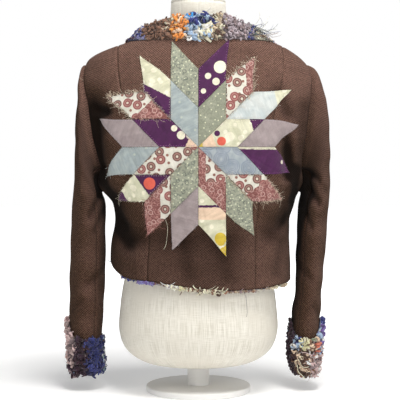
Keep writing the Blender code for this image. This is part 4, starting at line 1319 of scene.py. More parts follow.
def add_strands(name, groups):
    """One object from groups of strands, each group's points, faces, end faces and tints."""
    points, faces, tints, start = [], [], [], 0
    for some_points, quads, caps, some_tints in groups:
        faces += [quads + start, caps + start]
        points.append(some_points)
        tints.append(some_tints)
        start += len(some_points)
    points, tints = np.concatenate(points), np.concatenate(tints)
    made = add_mesh(name, points, faces, MATERIALS["rag_trim"], tint=tints)
    return made


def tinted(colors, count_each, random, spread_of_light=0.16):
    """A tint for each point of each strand, with some strands lighter and some darker."""
    light = np.exp(random.normal(0, spread_of_light, (len(colors), 1)))
    return np.repeat(np.clip(colors * light, 0, 1), count_each, axis=0)


def side_of(normals, random):
    """A random direction along the surface for each normal."""
    loose = random.normal(size=normals.shape)
    return unit(loose - (loose * normals).sum(-1, keepdims=True) * normals)


def knots(roots, normals, colors, grow, random, size=KNOT_SIZE):
    """Short coils of yarn that stand on a surface like knotted loops."""
    steps, sides = 12, 5
    count = len(roots)
    axis = unit(side_of(normals, random) + normals * random.normal(0, 0.5, (count, 1)))
    first = unit(np.cross(axis, normals + 0.01))
    second = np.cross(axis, first)
    along = np.linspace(0, 1, steps)
    start = random.uniform(0, math.tau, (count, 1))
    turn = start + math.tau * random.uniform(1.1, 1.7, (count, 1)) * along
    reach = grow * random.uniform(*size, (count, 1)) * (1 - 0.25 * along)
    rise = random.uniform(0.4, 1.2, (count, 1)) * reach * (along - 0.5) * 2
    middle = roots + normals * reach[:, :1] * 0.7
    turned = np.cos(turn)[..., None] * first[:, None] + np.sin(turn)[..., None] * second[:, None]
    paths = middle[:, None] + reach[..., None] * turned + rise[..., None] * axis[:, None]
    thick = reach[:, :1] * random.uniform(0.40, 0.62, (count, 1))
    radii = thick * np.sin(np.pi * (0.12 + 0.76 * along)) ** 0.5
    points, quads, caps = tubes(paths, radii, axis, sides)
    return points, quads, caps, tinted(colors, steps * sides, random)


def loose_ends(
    roots, normals, colors, grow, random, length, width, flat, rise=(0.5, 1.2), sides=5, steps=7
):
    """Loose ends of rag or yarn that leave a surface and bend over, with a little fall."""
    count = len(roots)
    heading = side_of(normals, random)
    along = np.linspace(0, 1, steps)
    lean = random.uniform(*rise, (count, 1)) - random.uniform(0.4, 1.5, (count, 1)) * along
    sway = random.normal(0, 0.8, (count, 1)) * along
    aside = np.cross(normals, heading)
    course = (
        (np.cos(lean) * np.cos(sway))[..., None] * heading[:, None]
        + (np.cos(lean) * np.sin(sway))[..., None] * aside[:, None]
        + np.sin(lean)[..., None] * normals[:, None]
    )
    course[..., 2] -= 0.35 * along
    reach = np.reshape(grow, (-1, 1, 1)) * random.uniform(*length, (count, 1, 1))
    path = np.cumsum(unit(course), axis=1) * reach / steps
    paths = roots[:, None] + path - path[:, :1]
    taper = np.clip(1.15 - 0.5 * along, 0, 1)
    radii = np.reshape(grow, (-1, 1)) ** 0.5 * random.uniform(*width, (count, 1)) * taper
    points, quads, caps = tubes(paths, radii, normals + 0.02, sides, flat)
    return points, quads, caps, tinted(colors, steps * sides, random)


def pick_colors(zones, place, level, random, blur=0.0025):
    """A color for each root from the zones that hold it, or from the mixed rags outside them."""
    place, level = np.ravel(place), np.ravel(level)
    found = np.empty((len(place), 3))
    lumps = np.floor(place / LUMP + random.normal(0, 0.25, len(place))).astype(int)
    for index, (where, height, lump) in enumerate(zip(place, level, lumps)):
        names = [
            name
            for low, high, least, most, *words in zones
            if low <= where + random.normal(0, blur) <= high and least <= height <= most
            for name in words
        ]
        if not names:
            names = [MIXED_RAGS[(lump * 7 + step) % len(MIXED_RAGS)] for step in (0, 0, 3)]
        found[index] = RAG_COLORS[names[random.integers(len(names))]]
    return found


def chosen_rows(chosen, arrays):
    """The chosen rows of each array."""
    return [array[chosen] for array in arrays]


def rag_pile(name, roots, normals, colors, grow):
    """The knots, rag ends and fibres that cover a backing, each grown by its own share."""
    random = np.random.default_rng(SEEDS[name])
    grow = np.broadcast_to(grow, len(roots))[:, None]
    kind = random.uniform(size=len(roots))
    knotted, fine = kind < KNOTTED_SHARE, kind >= 1 - FINE_SHARE
    ragged = ~(knotted | fine)
    each = (roots, normals, colors, grow)
    groups = [
        knots(*chosen_rows(knotted, each), random),
        loose_ends(*chosen_rows(ragged, each), random, **RAG_ENDS),
        loose_ends(*chosen_rows(fine, each), random, **FIBRES),
    ]
    return add_strands(name, groups)


def backing(name, outer, inner, colors, tube=False):
    """The woven ground of a trim, in the colors of the rags that stand on it, darkened as painted shade in
    the gaps between them.
    """
    tint = GROUND_SHADE * np.concatenate((colors, colors))
    return take_place(add_wall(name, outer, inner, MATERIALS["rag_trim"], tube, tint), name)


def backing_grids(points, normals, level, lift, thick, power=4):
    """A backing's outer and inner grids, a little off the cloth, with rounded edges."""
    round_edge = np.sqrt(np.clip(1 - (2 * level - 1) ** power, 0.05, 1))
    inner = points + lift * normals
    return inner + (thick * round_edge)[..., None] * normals, inner


def pile_roots(points, normals, first, second, count, random):
    """Random places on a grid of points, with their normals and their shares along its two sides."""
    rows, cols = points.shape[:2]
    at_row, at_col = random.uniform(0, rows - 1.001, count), random.uniform(0, cols - 1.001, count)
    row, col = at_row.astype(int), at_col.astype(int)
    down, over = (at_row - row)[:, None], (at_col - col)[:, None]

    def blend(grid):
        low = grid[row, col] * (1 - over) + grid[row, col + 1] * over
        high = grid[row + 1, col] * (1 - over) + grid[row + 1, col + 1] * over
        return low * (1 - down) + high * down

    shares = blend(np.stack((first, second), -1))
    return blend(points), unit(blend(normals)), shares[:, 0], shares[:, 1]


def tilt_at_edges(normals, level, up, tilt, reach=0.2):
    """Normals turned up near a strip's top edge and down near its foot."""
    top = np.clip(1 - (1 - level) / reach, 0, 1) * tilt
    foot = np.clip(1 - level / reach, 0, 1) * tilt
    return unit(normals + (top - foot)[:, None] * up)


def collar_places(x, y):
    """Where the collar's rags look up their colors: by x behind, and outside all zones in front."""
    return np.where(y < 0, x, COLLAR_FRONT_START + np.degrees(x))


def add_collar():
    """The rag collar, from the front over both shoulders and round the neck's back."""
    part = columns(COLLAR)
    end = part["angle"][-1]
    angle = np.linspace(-end, end, 141)
    level = np.linspace(0, 1, 15)
    low = smooth(np.abs(angle), part["angle"], part["low"])
    high = smooth(np.abs(angle), part["angle"], part["high"])
    height = between(low, high, level)
    theta = np.repeat(np.radians(angle)[:, None], len(level), axis=1)
    points, normals = surface(theta, height), outward(theta, height)
    levels = np.broadcast_to(level, theta.shape)
    outer, inner = backing_grids(points, normals, levels, COLLAR_LIFT, COLLAR_GROUND)
    random = np.random.default_rng(SEEDS["collar_trim"])
    x, y = points[..., 0], points[..., 1]
    ground = backing(
        "collar_trim", outer, inner, pick_colors(COLLAR_ZONES, collar_places(x, y), levels, random)
    )
    roots, out, place, at_level = pile_roots(outer, normals, x, levels, COLLAR_RAGS, random)
    grow = np.interp(place, *COLLAR_GROWTH)
    out = tilt_at_edges(out, at_level, np.array([0, 0, 1.0]), 0.9 * grow)
    colors = pick_colors(COLLAR_ZONES, collar_places(place, roots[:, 1]), at_level, random)
    return ground, rag_pile("collar_rags", roots, out, colors, grow)


def front_trim_grid(side):
    """Points and normals over the front trim, from the collar's end to the hem."""
    end = columns(COLLAR)
    part = columns(FRONT_TRIM)
    end_angle = side * (math.radians(end["angle"][-1]) + TRIM_JOINT)
    outer_z = np.concatenate(([end["low"][-1]], part["outer_z"]))
    inner_z = np.concatenate(([end["high"][-1]], part["inner_z"]))
    outer_a = np.concatenate(([end_angle], front_angle_at(side, part["outer_x"], part["outer_z"])))
    inner_a = np.concatenate(([end_angle], front_angle_at(side, part["inner_x"], part["inner_z"])))
    places = np.arange(len(outer_z), dtype=float)
    at = np.linspace(0, places[-1], 121)
    share = np.linspace(0, 1, 11)
    edges = [smooth(at, places, values) for values in (outer_z, inner_z, outer_a, inner_a)]
    height, theta = between(*edges[:2], share), between(*edges[2:], share)
    return surface(theta, height), outward(theta, height), share


def add_front_trim(side, name):
    """The rag trim down one front edge."""
    points, normals, share = front_trim_grid(side)
    first = np.broadcast_to(lengths(points, 0)[:, :1], points.shape[:2])
    second = np.broadcast_to(share, points.shape[:2])
    outer, inner = backing_grids(points, normals, second, FRONT_TRIM_LIFT, FRONT_GROUND)
    random = np.random.default_rng(SEEDS[name])
    lump_start = FRONT_LUMP_START + side
    ground = backing(name, outer, inner, pick_colors((), first + lump_start, second, random))
    roots, out, place, level = pile_roots(outer, normals, first, second, FRONT_RAGS, random)
    out = tilt_at_edges(out, level, np.array([-side * 0.8, 0, 0.3]), 0.5)
    colors = pick_colors((), place + lump_start, level, random)
    return ground, rag_pile(f"{name}_rags", roots, out, colors, FRONT_GROWTH)


def facing_side(degrees):
    """The place round the back half of a cuff whose colors also lie at a place on its front half."""
    return np.where(degrees > 200, 380 - degrees, degrees)


def add_cuff(side, name, inner_peak, zones):
    """A shaggy tube over the sleeve's end, with a raised peak at its sides."""
    rows, cols = 22, 96
    turn = np.linspace(0, math.tau, cols, endpoint=False)
    from_inner = np.minimum(turn, math.tau - turn)
    outer_peak = bump(math.pi - from_inner, CUFF_PEAK_SPREAD)
    top = CUFF_TOP + CUFF_PEAK * (outer_peak + inner_peak * bump(from_inner, CUFF_PEAK_SPREAD))
    foot = CUFF_FOOT + 0.002 * np.sin(5 * turn + side)
    share = np.linspace(0, 1, rows)[:, None]
    height = foot + (top - foot) * share
    part, word = columns(CUFFS), side_word(side)
    keys = (f"{word}_inner_x", f"{word}_outer_x", f"{word}_half_depth", "middle_y")
    inner_x, outer_x, half_depth, middle_y = (smooth(height, part["height"], part[key]) for key in keys)
    x = side * ((inner_x + outer_x) / 2 - (outer_x - inner_x) / 2 * np.cos(turn))
    y = middle_y - half_depth * np.sin(turn)
    inside = np.stack((x, y, height), -1)
    normals = tube_normals(inside)
    outer, inner = backing_grids(inside, normals, share, 0.0, CUFF_GROUND, power=6)
    random = np.random.default_rng(SEEDS[name])
    degrees = np.broadcast_to(np.degrees(turn), (rows, cols))
    below = pick_colors(zones, facing_side(degrees), np.broadcast_to(share, degrees.shape), random, CUFF_BLUR)
    ground = backing(name, outer, inner, below, tube=True)
    wrapped = [np.concatenate((grid, grid[:, :1]), axis=1) for grid in (outer, normals)]
    degrees = np.broadcast_to(np.degrees(np.linspace(0, math.tau, cols + 1)), (rows, cols + 1))
    levels = np.broadcast_to(share, degrees.shape)
    roots, out, place, level = pile_roots(*wrapped, degrees, levels, CUFF_RAGS, random)
    grow = np.interp(place, *CUFF_GROWTH)
    out = tilt_at_edges(out, level, np.array([0, 0, 1.0]), 0.8, 0.14)
    colors = pick_colors(zones, facing_side(place), level, random, CUFF_BLUR)
    return ground, rag_pile(f"{name}_rags", roots, out, colors, grow)


def add_hem_trim():
    """Rag trim along the inside of the hem, with short tufts that peek out below it."""
    share = np.linspace(-1, 1, 241)
    across = np.linspace(0, 1, 5)
    theta = np.repeat(HEM_TRIM_END * share[:, None], len(across), axis=1)
    points = surface(theta, HEM + HEM_TRIM_HEIGHT * across)
    points[:, 0, 2] -= HEM_TRIM_HANG * (0.6 + 0.4 * np.sin(60 * share) * np.sin(23 * share))
    normals = outward(theta, np.full_like(theta, HEM + HEM_TRIM_HEIGHT / 2))
    outer = points - (CLOTH + HEM_TRIM_LIFT) * normals
    inner = outer - HEM_TRIM_THICK * normals
    random = np.random.default_rng(SEEDS["hem_trim"])
    colors = pick_colors((), theta * HEM_ROUND + HEM_LUMP_START, np.zeros_like(theta), random)
    ground = backing("hem_trim", outer, inner, colors)
    tufts = HEM_TUFTS[1:]
    places = np.concatenate([random.uniform(low, high, count) for low, high, count, *_ in tufts])
    grow = np.concatenate([np.full((count, 1), growth) for _, _, count, growth, *_ in tufts])
    names = [words[random.integers(len(words))] for _, _, count, _, *words in tufts for _ in range(count)]
    angle = np.radians(places)
    roots = surface(angle, np.full(len(angle), HEM + 0.001))
    out = outward(angle, np.full(len(angle), HEM + 0.003))
    roots = roots - (CLOTH + 0.0010) * out - np.array([0, 0, 0.002])
    down = unit(0.35 * out + np.array([0, 0, -1.0]))
    colors = np.array([RAG_COLORS[word] for word in names])
    fine = random.uniform(size=len(names)) < 0.45
    each = (roots, down, colors, grow)
    groups = [
        knots(*chosen_rows(~fine, each), random, HEM_KNOT_SIZE),
        loose_ends(*chosen_rows(fine, each), random, **HEM_ENDS),
    ]
    return ground, add_strands("hem_rags", groups)


def ring_faces(rows, cols):
    """The faces between rings of points, and the two end faces."""
    index = np.arange(rows * cols).reshape(rows, cols)
    after = np.roll(index, -1, axis=1)
    sides = np.stack((index[:-1], after[:-1], after[1:], index[1:]), -1).reshape(-1, 4)
    return sides, np.stack((index[0, ::-1], index[-1]))


def add_lofted(name, table, rows, seams):
    """A linen-covered solid through oval sections, with sewn seams down it, closed flat at both ends."""
    part = columns(table)
    sections = np.arange(len(part["height"]), dtype=float)
    at = np.linspace(0, sections[-1], rows)
    turn = np.linspace(0, math.tau, 97)[:-1]
    near = [math.radians(angle) + step for angle in seams for step in (-0.02, -0.008, 0, 0.008, 0.02)]
    turn = np.unique(np.concatenate((turn, np.mod(near, math.tau))))
    height, half_width, back, front = (smooth(at, sections, part[key])[:, None] for key in part)
    apart = [np.abs(np.mod(turn - math.radians(angle) + math.pi, math.tau) - math.pi) for angle in seams]
    dip = 0.0006 * bump(np.min(apart, axis=0) * half_width, 0.0012)
    depth = np.where(np.sin(turn) < 0, back, front)
    x = (half_width - dip) * np.cos(turn)
    y = (depth - dip) * np.sin(turn)
    grid = np.stack((x, y, np.broadcast_to(height, x.shape)), -1)
    cols = len(turn)
    sides, ends = ring_faces(rows, cols)
    around = np.append(turn, turn[0] + math.tau) * part["half_width"].mean()
    side_uv = []
    for row_step, col_step in ((0, 0), (0, 1), (1, 1), (1, 0)):
        v = np.broadcast_to(height[row_step : rows - 1 + row_step], (rows - 1, cols))
        u = np.broadcast_to(around[col_step : cols + col_step], v.shape)
        side_uv.append(np.stack((u, v), -1))
    side_uv = np.stack(side_uv, 2).reshape(-1, 2)
    points = grid.reshape(-1, 3)
    uv = np.concatenate((side_uv, points[ends.ravel()][:, :2]))
    return take_place(add_mesh(name, points, [sides, ends], MATERIALS["linen"], uv), name)


def add_turned(name, profile):
    """A turned piece from its outline, a list of radii and heights from the foot's middle up."""
    radius, height = (np.array(values)[:, None] for values in zip(*profile))
    turn = np.linspace(0, math.tau, 96, endpoint=False)
    points = np.stack((radius * np.cos(turn), radius * np.sin(turn), height + 0 * turn), -1).reshape(-1, 3)
    made = add_mesh(name, points, ring_faces(len(profile), len(turn)), MATERIALS["stand_paint"])
    made.data.set_sharp_from_angle(angle=math.radians(40))
    return take_place(made, name)


def rounded(radius, low, high, edge):
    """The outline of a disc or post with rounded edges."""
    turns = np.linspace(0, QUARTER, 6)
    foot = [(radius - edge * (1 - math.sin(t)), low + edge * (1 - math.cos(t))) for t in turns]
    top = [(radius - edge * (1 - math.cos(t)), high - edge * (1 - math.sin(t))) for t in turns]
    return foot + top


def threads(paths, radius, upright, sides, color, random, spread_of_light=0.16):
    """A group of strands of one radius and color, along paths with the same number of steps."""
    count, steps = paths.shape[:2]
    points, quads, caps = tubes(paths, np.full((count, steps), radius), upright, sides)
    colors = np.repeat(color[None], count, axis=0)
    return points, quads, caps, tinted(colors, steps * sides, random, spread_of_light)


def by_fray(least_and_more, fray):
    """A value that grows with how far a cloth has frayed."""
    least, more = least_and_more
    return least + more * fray


def add_stitches(corners):
    """Running stitches a little inside the edges of every diamond."""
    random = np.random.default_rng(SEEDS["star_stitches"])
    groups = []
    for name, shape in corners.items():
        color = linear(COTTON[PATCHES[name][0]][2])
        loop = shrunk(shape, STITCH_INSET)
        for start, end in zip(loop, np.roll(loop, -1, axis=0)):
            count = int(np.linalg.norm(end - start) / STITCH_PITCH)
            share = (np.arange(count) + 0.5 + random.normal(0, 0.05, count)) / count
            centre = start + share[:, None] * (end - start)
            ends = centre[:, None] + np.array([-1, 0, 1])[:, None] * (STITCH_HALF * unit(end - start))
            lift = PATCH_LIFT + PATCH_CLOTH + np.array([0.0, STITCH_RISE, 0.0])
            paths, normals = star_place(ends, np.broadcast_to(lift, ends.shape[:2]))
            groups.append(threads(paths, STITCH_RADIUS, normals[:, 1], 4, color, random, 0.08))
    return add_strands("star_stitches", groups)


def add_frays(corners):
    """Loose threads along the raw edges, most on the cloths that have frayed."""
    random = np.random.default_rng(SEEDS["star_frays"])
    groups = []
    for name, shape in corners.items():
        cloth, fray = PATCHES[name][:2]
        color = linear(COTTON[cloth][3])
        for index in range(4):
            start, end = shape[index], shape[(index + 1) % 4]
            tip_side = index in (0, 1, 2)
            count = int(by_fray(FRAY_COUNT, fray) * (1 if tip_side else 0.4))
            share = random.beta(1.2, 0.9, count) if index == 0 else random.uniform(size=count)
            outside = unit(start + end - 2 * shape.mean(axis=0))
            flat = start + share[:, None] * (end - start) - 0.0006 * outside
            roots, normals = star_place(flat, np.full(count, PATCH_LIFT + 0.0005))
            there, _ = star_place(flat + 0.002 * outside, np.full(count, PATCH_LIFT + 0.0005))
            heading = unit(there - roots + random.normal(0, 0.0012, (count, 3)))
            along = np.linspace(0, 1, 5)
            reach = random.gamma(2.0, by_fray(FRAY_LENGTH, fray), (count, 1, 1))
            wave = random.normal(0, 0.35, (count, 1, 3)) * (along**2)[:, None]
            paths = roots[:, None] + reach * (along[:, None] * heading[:, None] + wave)
            outward_only = np.clip(((paths - roots[:, None]) * normals[:, None]).sum(-1), None, 0)
            paths = paths - outward_only[..., None] * normals[:, None]
            groups.append(threads(paths, by_fray(FRAY_RADIUS, fray), normals + 0.05, 3, color, random, 0.2))
    return add_strands("star_frays", groups)


def add_wisps():
    """Curled threads at the collar's right end, the right cuff's strings and a few single threads."""
    random = np.random.default_rng(SEEDS["loose_threads"])
    angle = np.radians(random.uniform(*CURLED_ANGLES, CURLED_COUNT))
    level = random.uniform(*CURLED_HEIGHTS, CURLED_COUNT)
    out = outward(angle, level)
    roots = surface(angle, level) + 0.007 * out
    out = unit(out * np.array([1.0, 0.5, 0.1]) + np.array([0.8, 0.0, -0.3]))
    colors = np.array([RAG_COLORS[name] for name in random.choice(CURLED_COLORS, CURLED_COUNT)])
    groups = [loose_ends(roots, out, colors, 1.0, random, **CURLED_THREADS)]
    upright = np.array([[0.2, -1.0, 0.1]])
    along = np.linspace(0, 1, 14)[:, None]
    for start, end, bow, radius, word in LOOSE_THREADS:
        path = np.array(start) * (1 - along) + np.array(end) * along
        path = path + np.sin(math.pi * along) * np.array(bow)
        path[:, 0] += 0.0008 * np.sin(9 * along[:, 0])
        groups.append(threads(path[None], radius, upright, 4, RAG_COLORS[word], random))
    return add_strands("loose_threads", groups)


def add_node(tree, kind, inputs=(), **settings):
    """A shader node with its settings, fed by values or by other nodes."""
    made = tree.nodes.new(kind)
    for key, value in settings.items():
        setattr(made, key, value)
    for key, value in dict(inputs).items():
        if isinstance(value, bpy.types.NodeSocket):
            tree.links.new(value, made.inputs[key])
        else:
            made.inputs[key].default_value = value
    return made


class Cloth:
    """A material and short ways to build the pattern of its cloth."""

    def __init__(self, name, mean, rough, sheen=0.0):
        self.material = bpy.data.materials.new(name)
        self.material.use_nodes = True
        self.tree = self.material.node_tree
        self.shader = self.tree.nodes["Principled BSDF"]
        self.shader.inputs["Base Color"].default_value = (*mean, 1)
        self.shader.inputs["Roughness"].default_value = rough
        self.shader.inputs["Specular IOR Level"].default_value = 0.0 if rough > 0.9 else 0.2
        self.shader.inputs["Sheen Weight"].default_value = sheen
        self.shader.inputs["Sheen Roughness"].default_value = 0.6
        self.place = self.tree.nodes.new("ShaderNodeTexCoord").outputs["UV"]
        self.normal = self.tree.nodes.new("ShaderNodeNewGeometry").outputs["Normal"]
        self.shift = np.zeros(3)

    def node(self, kind, inputs=(), **settings):
        return add_node(self.tree, kind, inputs, **settings)

    def math(self, operation, first, second=0.0):
        """A sum worked out with each place's own values."""
        return self.node("ShaderNodeMath", {0: first, 1: second}, operation=operation).outputs[0]

    def vector(self, operation, first, second):
        """The same with vectors, where the result is a number."""
        made = self.node("ShaderNodeVectorMath", {0: first, 1: second}, operation=operation)
        return made.outputs["Value"]

    def total(self, value, *more):
        """A value and more of them added to it, each by its own weight."""
        for other, weight in more:
            value = self.math("ADD", value, self.math("MULTIPLY", other, weight))
        return value

    def scaled(self, across, along=None, shift=(0, 0, 0)):
        """The cloth's own place measured in steps of the given lengths."""
        scale = (1 / across, 1 / (along or across), 1)
        inputs = {"Vector": self.place, "Scale": scale, "Location": self.shift + shift}
        return self.node("ShaderNodeMapping", inputs).outputs[0]

    def noise(self, across, along=None, detail=2.0):
        """Cloudy values from about 0.3 to 0.7, with spots of the given size."""
        inputs = {"Vector": self.scaled(across, along), "Scale": 1.0, "Detail": detail}
        return self.node("ShaderNodeTexNoise", inputs).outputs["Fac"]

    def cells(self, pitch, randomness=1.0, shift=(0, 0, 0)):
        """The distance from the nearest of scattered points, in pitches, and a color for each."""
        inputs = {"Vector": self.scaled(pitch, None, shift), "Scale": 1.0, "Randomness": randomness}
        made = self.node("ShaderNodeTexVoronoi", inputs, voronoi_dimensions="2D")
        return made.outputs["Distance"], made.outputs["Color"]

    def ramp(self, value, low, high):
        """0 below low and 1 above high, smoothly between."""
        inputs = {"Value": value, "From Min": low, "From Max": high}
        made = self.node("ShaderNodeMapRange", inputs, interpolation_type="SMOOTHSTEP")
        return made.outputs["Result"]

    def band(self, value, low, high, soft):
        """1 where the value lies between low and high, with soft ends."""
        rise = self.ramp(value, low - soft, low + soft)
        fall = self.ramp(value, high - soft, high + soft)
        return self.math("SUBTRACT", rise, fall)

    def mix(self, share, *colors):
        """The first color where the share is 0, the second where it is 1, and between them a blend."""
        first, second = (c if isinstance(c, bpy.types.NodeSocket) else (*c, 1) for c in colors)
        return self.node("ShaderNodeMix", {0: share, 6: first, 7: second}, data_type="RGBA").outputs[2]

    def shaded(self, light, color, depth):
        """The color, darker by a depth where the light is 0."""
        return self.mix(light, self.mix(depth, color, (0, 0, 0)), color)

    def channels(self, color):
        """A color's red, green and blue."""
        return self.node("ShaderNodeSeparateColor", {0: color}).outputs

    def tint(self):
        """The color that is stored with each point."""
        return self.node("ShaderNodeAttribute", attribute_name="tint").outputs["Color"]

    def finish(self, color, height, depth):
        """Link the color, and the height as bumps of a depth in metres."""
        bumps = self.node("ShaderNodeBump", {"Height": height, "Distance": depth, "Strength": 1.0})
        self.tree.links.new(bumps.outputs[0], self.shader.inputs["Normal"])
        self.tree.links.new(color, self.shader.inputs["Base Color"])
        return self.material

    def toward(self, degrees):
        """The distance from the cloth's middle in a direction clockwise from its own up."""
        heading = (math.sin(math.radians(degrees)), math.cos(math.radians(degrees)), 0)
        return self.vector("DOT_PRODUCT", self.place, heading)

    def wave(self, degrees, pitch):
        """A wave from -1 to 1 across the cloth in a direction."""
        return self.math("SINE", self.math("MULTIPLY", self.toward(degrees), math.tau / pitch))


def make_wool():
    """Brown hopsack wool, painted paler where it faces up and darker where it faces away, as painted light
    and shade, and darker still as painted shade in folds and along the shade lines.
    """
    cloth = Cloth("brown_wool", (0.100, 0.054, 0.044), 0.95, 0.03)
    weave = cloth.math("MULTIPLY", cloth.wave(90, WEAVE_ACROSS), cloth.wave(0, WEAVE_ALONG))
    fuzz = cloth.noise(0.0016, detail=3.0)
    melange = cloth.noise(0.0042, detail=1.0)
    mixed = cloth.total(cloth.math("MULTIPLY", weave, 0.5), (fuzz, 1.2), (melange, 1.1))
    share = cloth.ramp(mixed, 0.45, 1.85)
    # Painted light and shade: a dark copy of the wool where it faces away from the light above, and a pale
    # one where it faces towards it
    painted_shade_wool = cloth.mix(share, (0.015, 0.0080, 0.0045), (0.102, 0.056, 0.036))
    painted_lit_wool = cloth.mix(share, (0.052, 0.028, 0.021), (0.225, 0.126, 0.097))
    painted_light_share = cloth.ramp(cloth.vector("DOT_PRODUCT", cloth.normal, PAINTED_LIGHT_TOWARD), 0.10, 0.76)
    color = cloth.mix(painted_light_share, painted_shade_wool, painted_lit_wool)
    color = cloth.shaded(cloth.ramp(cloth.noise(0.030), 0.30, 0.70), color, 0.12)
    near, tone = cloth.cells(0.0035)
    chosen = cloth.channels(tone)
    fleck = cloth.math("MULTIPLY", cloth.ramp(near, 0.22, 0.12), cloth.ramp(chosen[0], 0.88, 0.92))
    color = cloth.mix(fleck, color, cloth.mix(chosen[1], (0.20, 0.07, 0.040), (0.17, 0.13, 0.10)))
    # Painted shade in folds and along the shade lines, from each point's tint
    shade_share = cloth.math("MULTIPLY", cloth.channels(cloth.tint())[0], 0.95)
    color = cloth.mix(shade_share, color, (0.004, 0.002, 0.001))
    return cloth.finish(color, cloth.total(weave, (fuzz, 2.0)), 0.0006)


def make_linen():
    """Natural linen with slubs down it and fine threads across, slightly stained."""
    cloth = Cloth("linen", (0.74, 0.71, 0.63), 0.9, 0.1)
    slubs = cloth.noise(0.0011, 0.040, 3.0)
    weft = cloth.noise(0.020, 0.0009, 2.0)
    weave = cloth.total(cloth.math("MULTIPLY", slubs, 0.65), (weft, 0.35))
    color = cloth.mix(cloth.ramp(weave, 0.36, 0.60), (0.56, 0.525, 0.44), (0.77, 0.74, 0.665))
    color = cloth.mix(cloth.ramp(cloth.noise(0.09), 0.4, 0.75), color, (0.66, 0.62, 0.535))
    return cloth.finish(color, weave, 0.0004)


def make_paint():
    """Plain off-white paint on the stand."""
    cloth = Cloth("stand_paint", (0.80, 0.79, 0.77), 0.5)
    fine = cloth.noise(0.004)
    return cloth.finish(cloth.mix(fine, (0.78, 0.77, 0.75), (0.82, 0.81, 0.79)), fine, 0.00005)


def make_rags():
    """Yarn and torn cloth, each strand in its own color."""
    cloth = Cloth("rag_trim", (0.20, 0.15, 0.16), 1.0, 0.25)
    place = cloth.node("ShaderNodeTexCoord").outputs["Object"]
    fine = cloth.node("ShaderNodeTexNoise", {"Vector": place, "Scale": 900.0, "Detail": 2.0}).outputs["Fac"]
    return cloth.finish(cloth.shaded(cloth.ramp(fine, 0.25, 0.75), cloth.tint(), 0.55), fine, 0.0004)


def make_patch(name, seed):
    """The cotton of one diamond, with the bands and discs that are printed on it."""
    cotton, _, bands, discs = PATCHES[name]
    cloth = Cloth(name, COTTON[cotton][0], 0.9, 0.15)
    cloth.shift = np.random.default_rng(seed).uniform(0, 9, 3)
    wobble = cloth.noise(0.005, detail=1.0)
    color = printed(cloth, cotton)
    for other, degrees, low, high in bands:
        away = cloth.total(cloth.toward(degrees), (wobble, 2 * WOBBLE))
        share = cloth.band(away, low + WOBBLE, high + WOBBLE, PRINT_EDGE)
        color = cloth.mix(share, color, printed(cloth, other))
    for other, across, along, radius in discs:
        away = cloth.vector("DISTANCE", cloth.place, (across, along, 0))
        disc = cloth.ramp(away, radius + PRINT_EDGE, radius - PRINT_EDGE)
        color = cloth.mix(disc, color, printed(cloth, other))
    fine = cloth.noise(0.0006, detail=1.0)
    soft = cloth.noise(0.018, detail=3.0)
    creases = cloth.noise(0.028, 0.006, 2.0)
    # Painted shade: the cotton is darker along long narrow marks, the same ones that the bumps raise as
    # creases
    color = cloth.shaded(cloth.ramp(creases, 0.60, 0.42), color, 0.10)
    color = cloth.shaded(cloth.ramp(fine, 0.2, 0.7), color, 0.22)
    return cloth.finish(color, cloth.total(fine, (soft, 2.0), (creases, 1.5)), 0.0004)


def printed(cloth, cotton):
    """The color of a cotton, with its print where it has one."""
    deeper, paler = COTTON[cotton][:2]
    base = cloth.mix(cloth.ramp(cloth.noise(0.018, detail=3.0), 0.35, 0.65), deeper, paler)
    prints = {
        "sage_dots": print_small_dots,
        "sage_print": print_sage,
        "blue_rings": print_thin_rings,
        "blue_plain": print_faint_dots,
        "cream_rings": print_rings,
        "maroon_rings": print_maroon,
        "cream_green": print_pale_dots,
    }
    return prints[cotton](cloth, base) if cotton in prints else base


def print_small_dots(cloth, base):
    """Pale dots scattered on a mottled ground."""
    near, _ = cloth.cells(0.0125, 0.6)
    color = cloth.mix(cloth.ramp(cloth.noise(0.003), 0.4, 0.7), base, (0.22, 0.235, 0.17))
    return cloth.mix(cloth.ramp(near, 0.12, 0.08), color, (0.66, 0.66, 0.46))


def print_faint_dots(cloth, base):
    """A few faint dots, far apart."""
    near, _ = cloth.cells(0.030, 0.9)
    return cloth.mix(cloth.math("MULTIPLY", cloth.ramp(near, 0.10, 0.05), 0.4), base, (0.62, 0.66, 0.50))


def print_pale_dots(cloth, base):
    """Pale discs on some of the places of a loose grid."""
    near, tone = cloth.cells(0.017, 0.8)
    chosen = cloth.ramp(cloth.channels(tone)[0], 0.40, 0.45)
    disc = cloth.math("MULTIPLY", cloth.ramp(near, 0.26, 0.22), chosen)
    return cloth.mix(disc, base, (0.80, 0.76, 0.60))


def print_sage(cloth, base):
    """Dark thin rings and pale dots on clouds of sage."""
    cloudy = cloth.ramp(cloth.noise(0.004, detail=3.0), 0.48, 0.66)
    color = cloth.mix(cloudy, base, (0.18, 0.20, 0.16))
    ring, _ = cloth.cells(0.017, 0.8, (3, 5, 0))
    color = cloth.mix(cloth.band(ring, 0.17, 0.22, 0.02), color, (0.085, 0.10, 0.085))
    near, _ = cloth.cells(0.0105, 0.7)
    return cloth.mix(cloth.ramp(near, 0.16, 0.10), color, (0.60, 0.62, 0.44))


def print_thin_rings(cloth, base):
    """Sets of thin blue rings, one inside the other."""
    near, _ = cloth.cells(0.030, 0.6)
    wobbly = cloth.total(near, (cloth.noise(0.006), 0.10))
    lines = cloth.band(wobbly, 0.17, 0.20, 0.010)
    for low in (0.27, 0.38, 0.50):
        lines = cloth.math("ADD", lines, cloth.band(wobbly, low, low + 0.034, 0.012))
    return cloth.mix(cloth.math("MULTIPLY", lines, 0.9), base, (0.12, 0.15, 0.24))


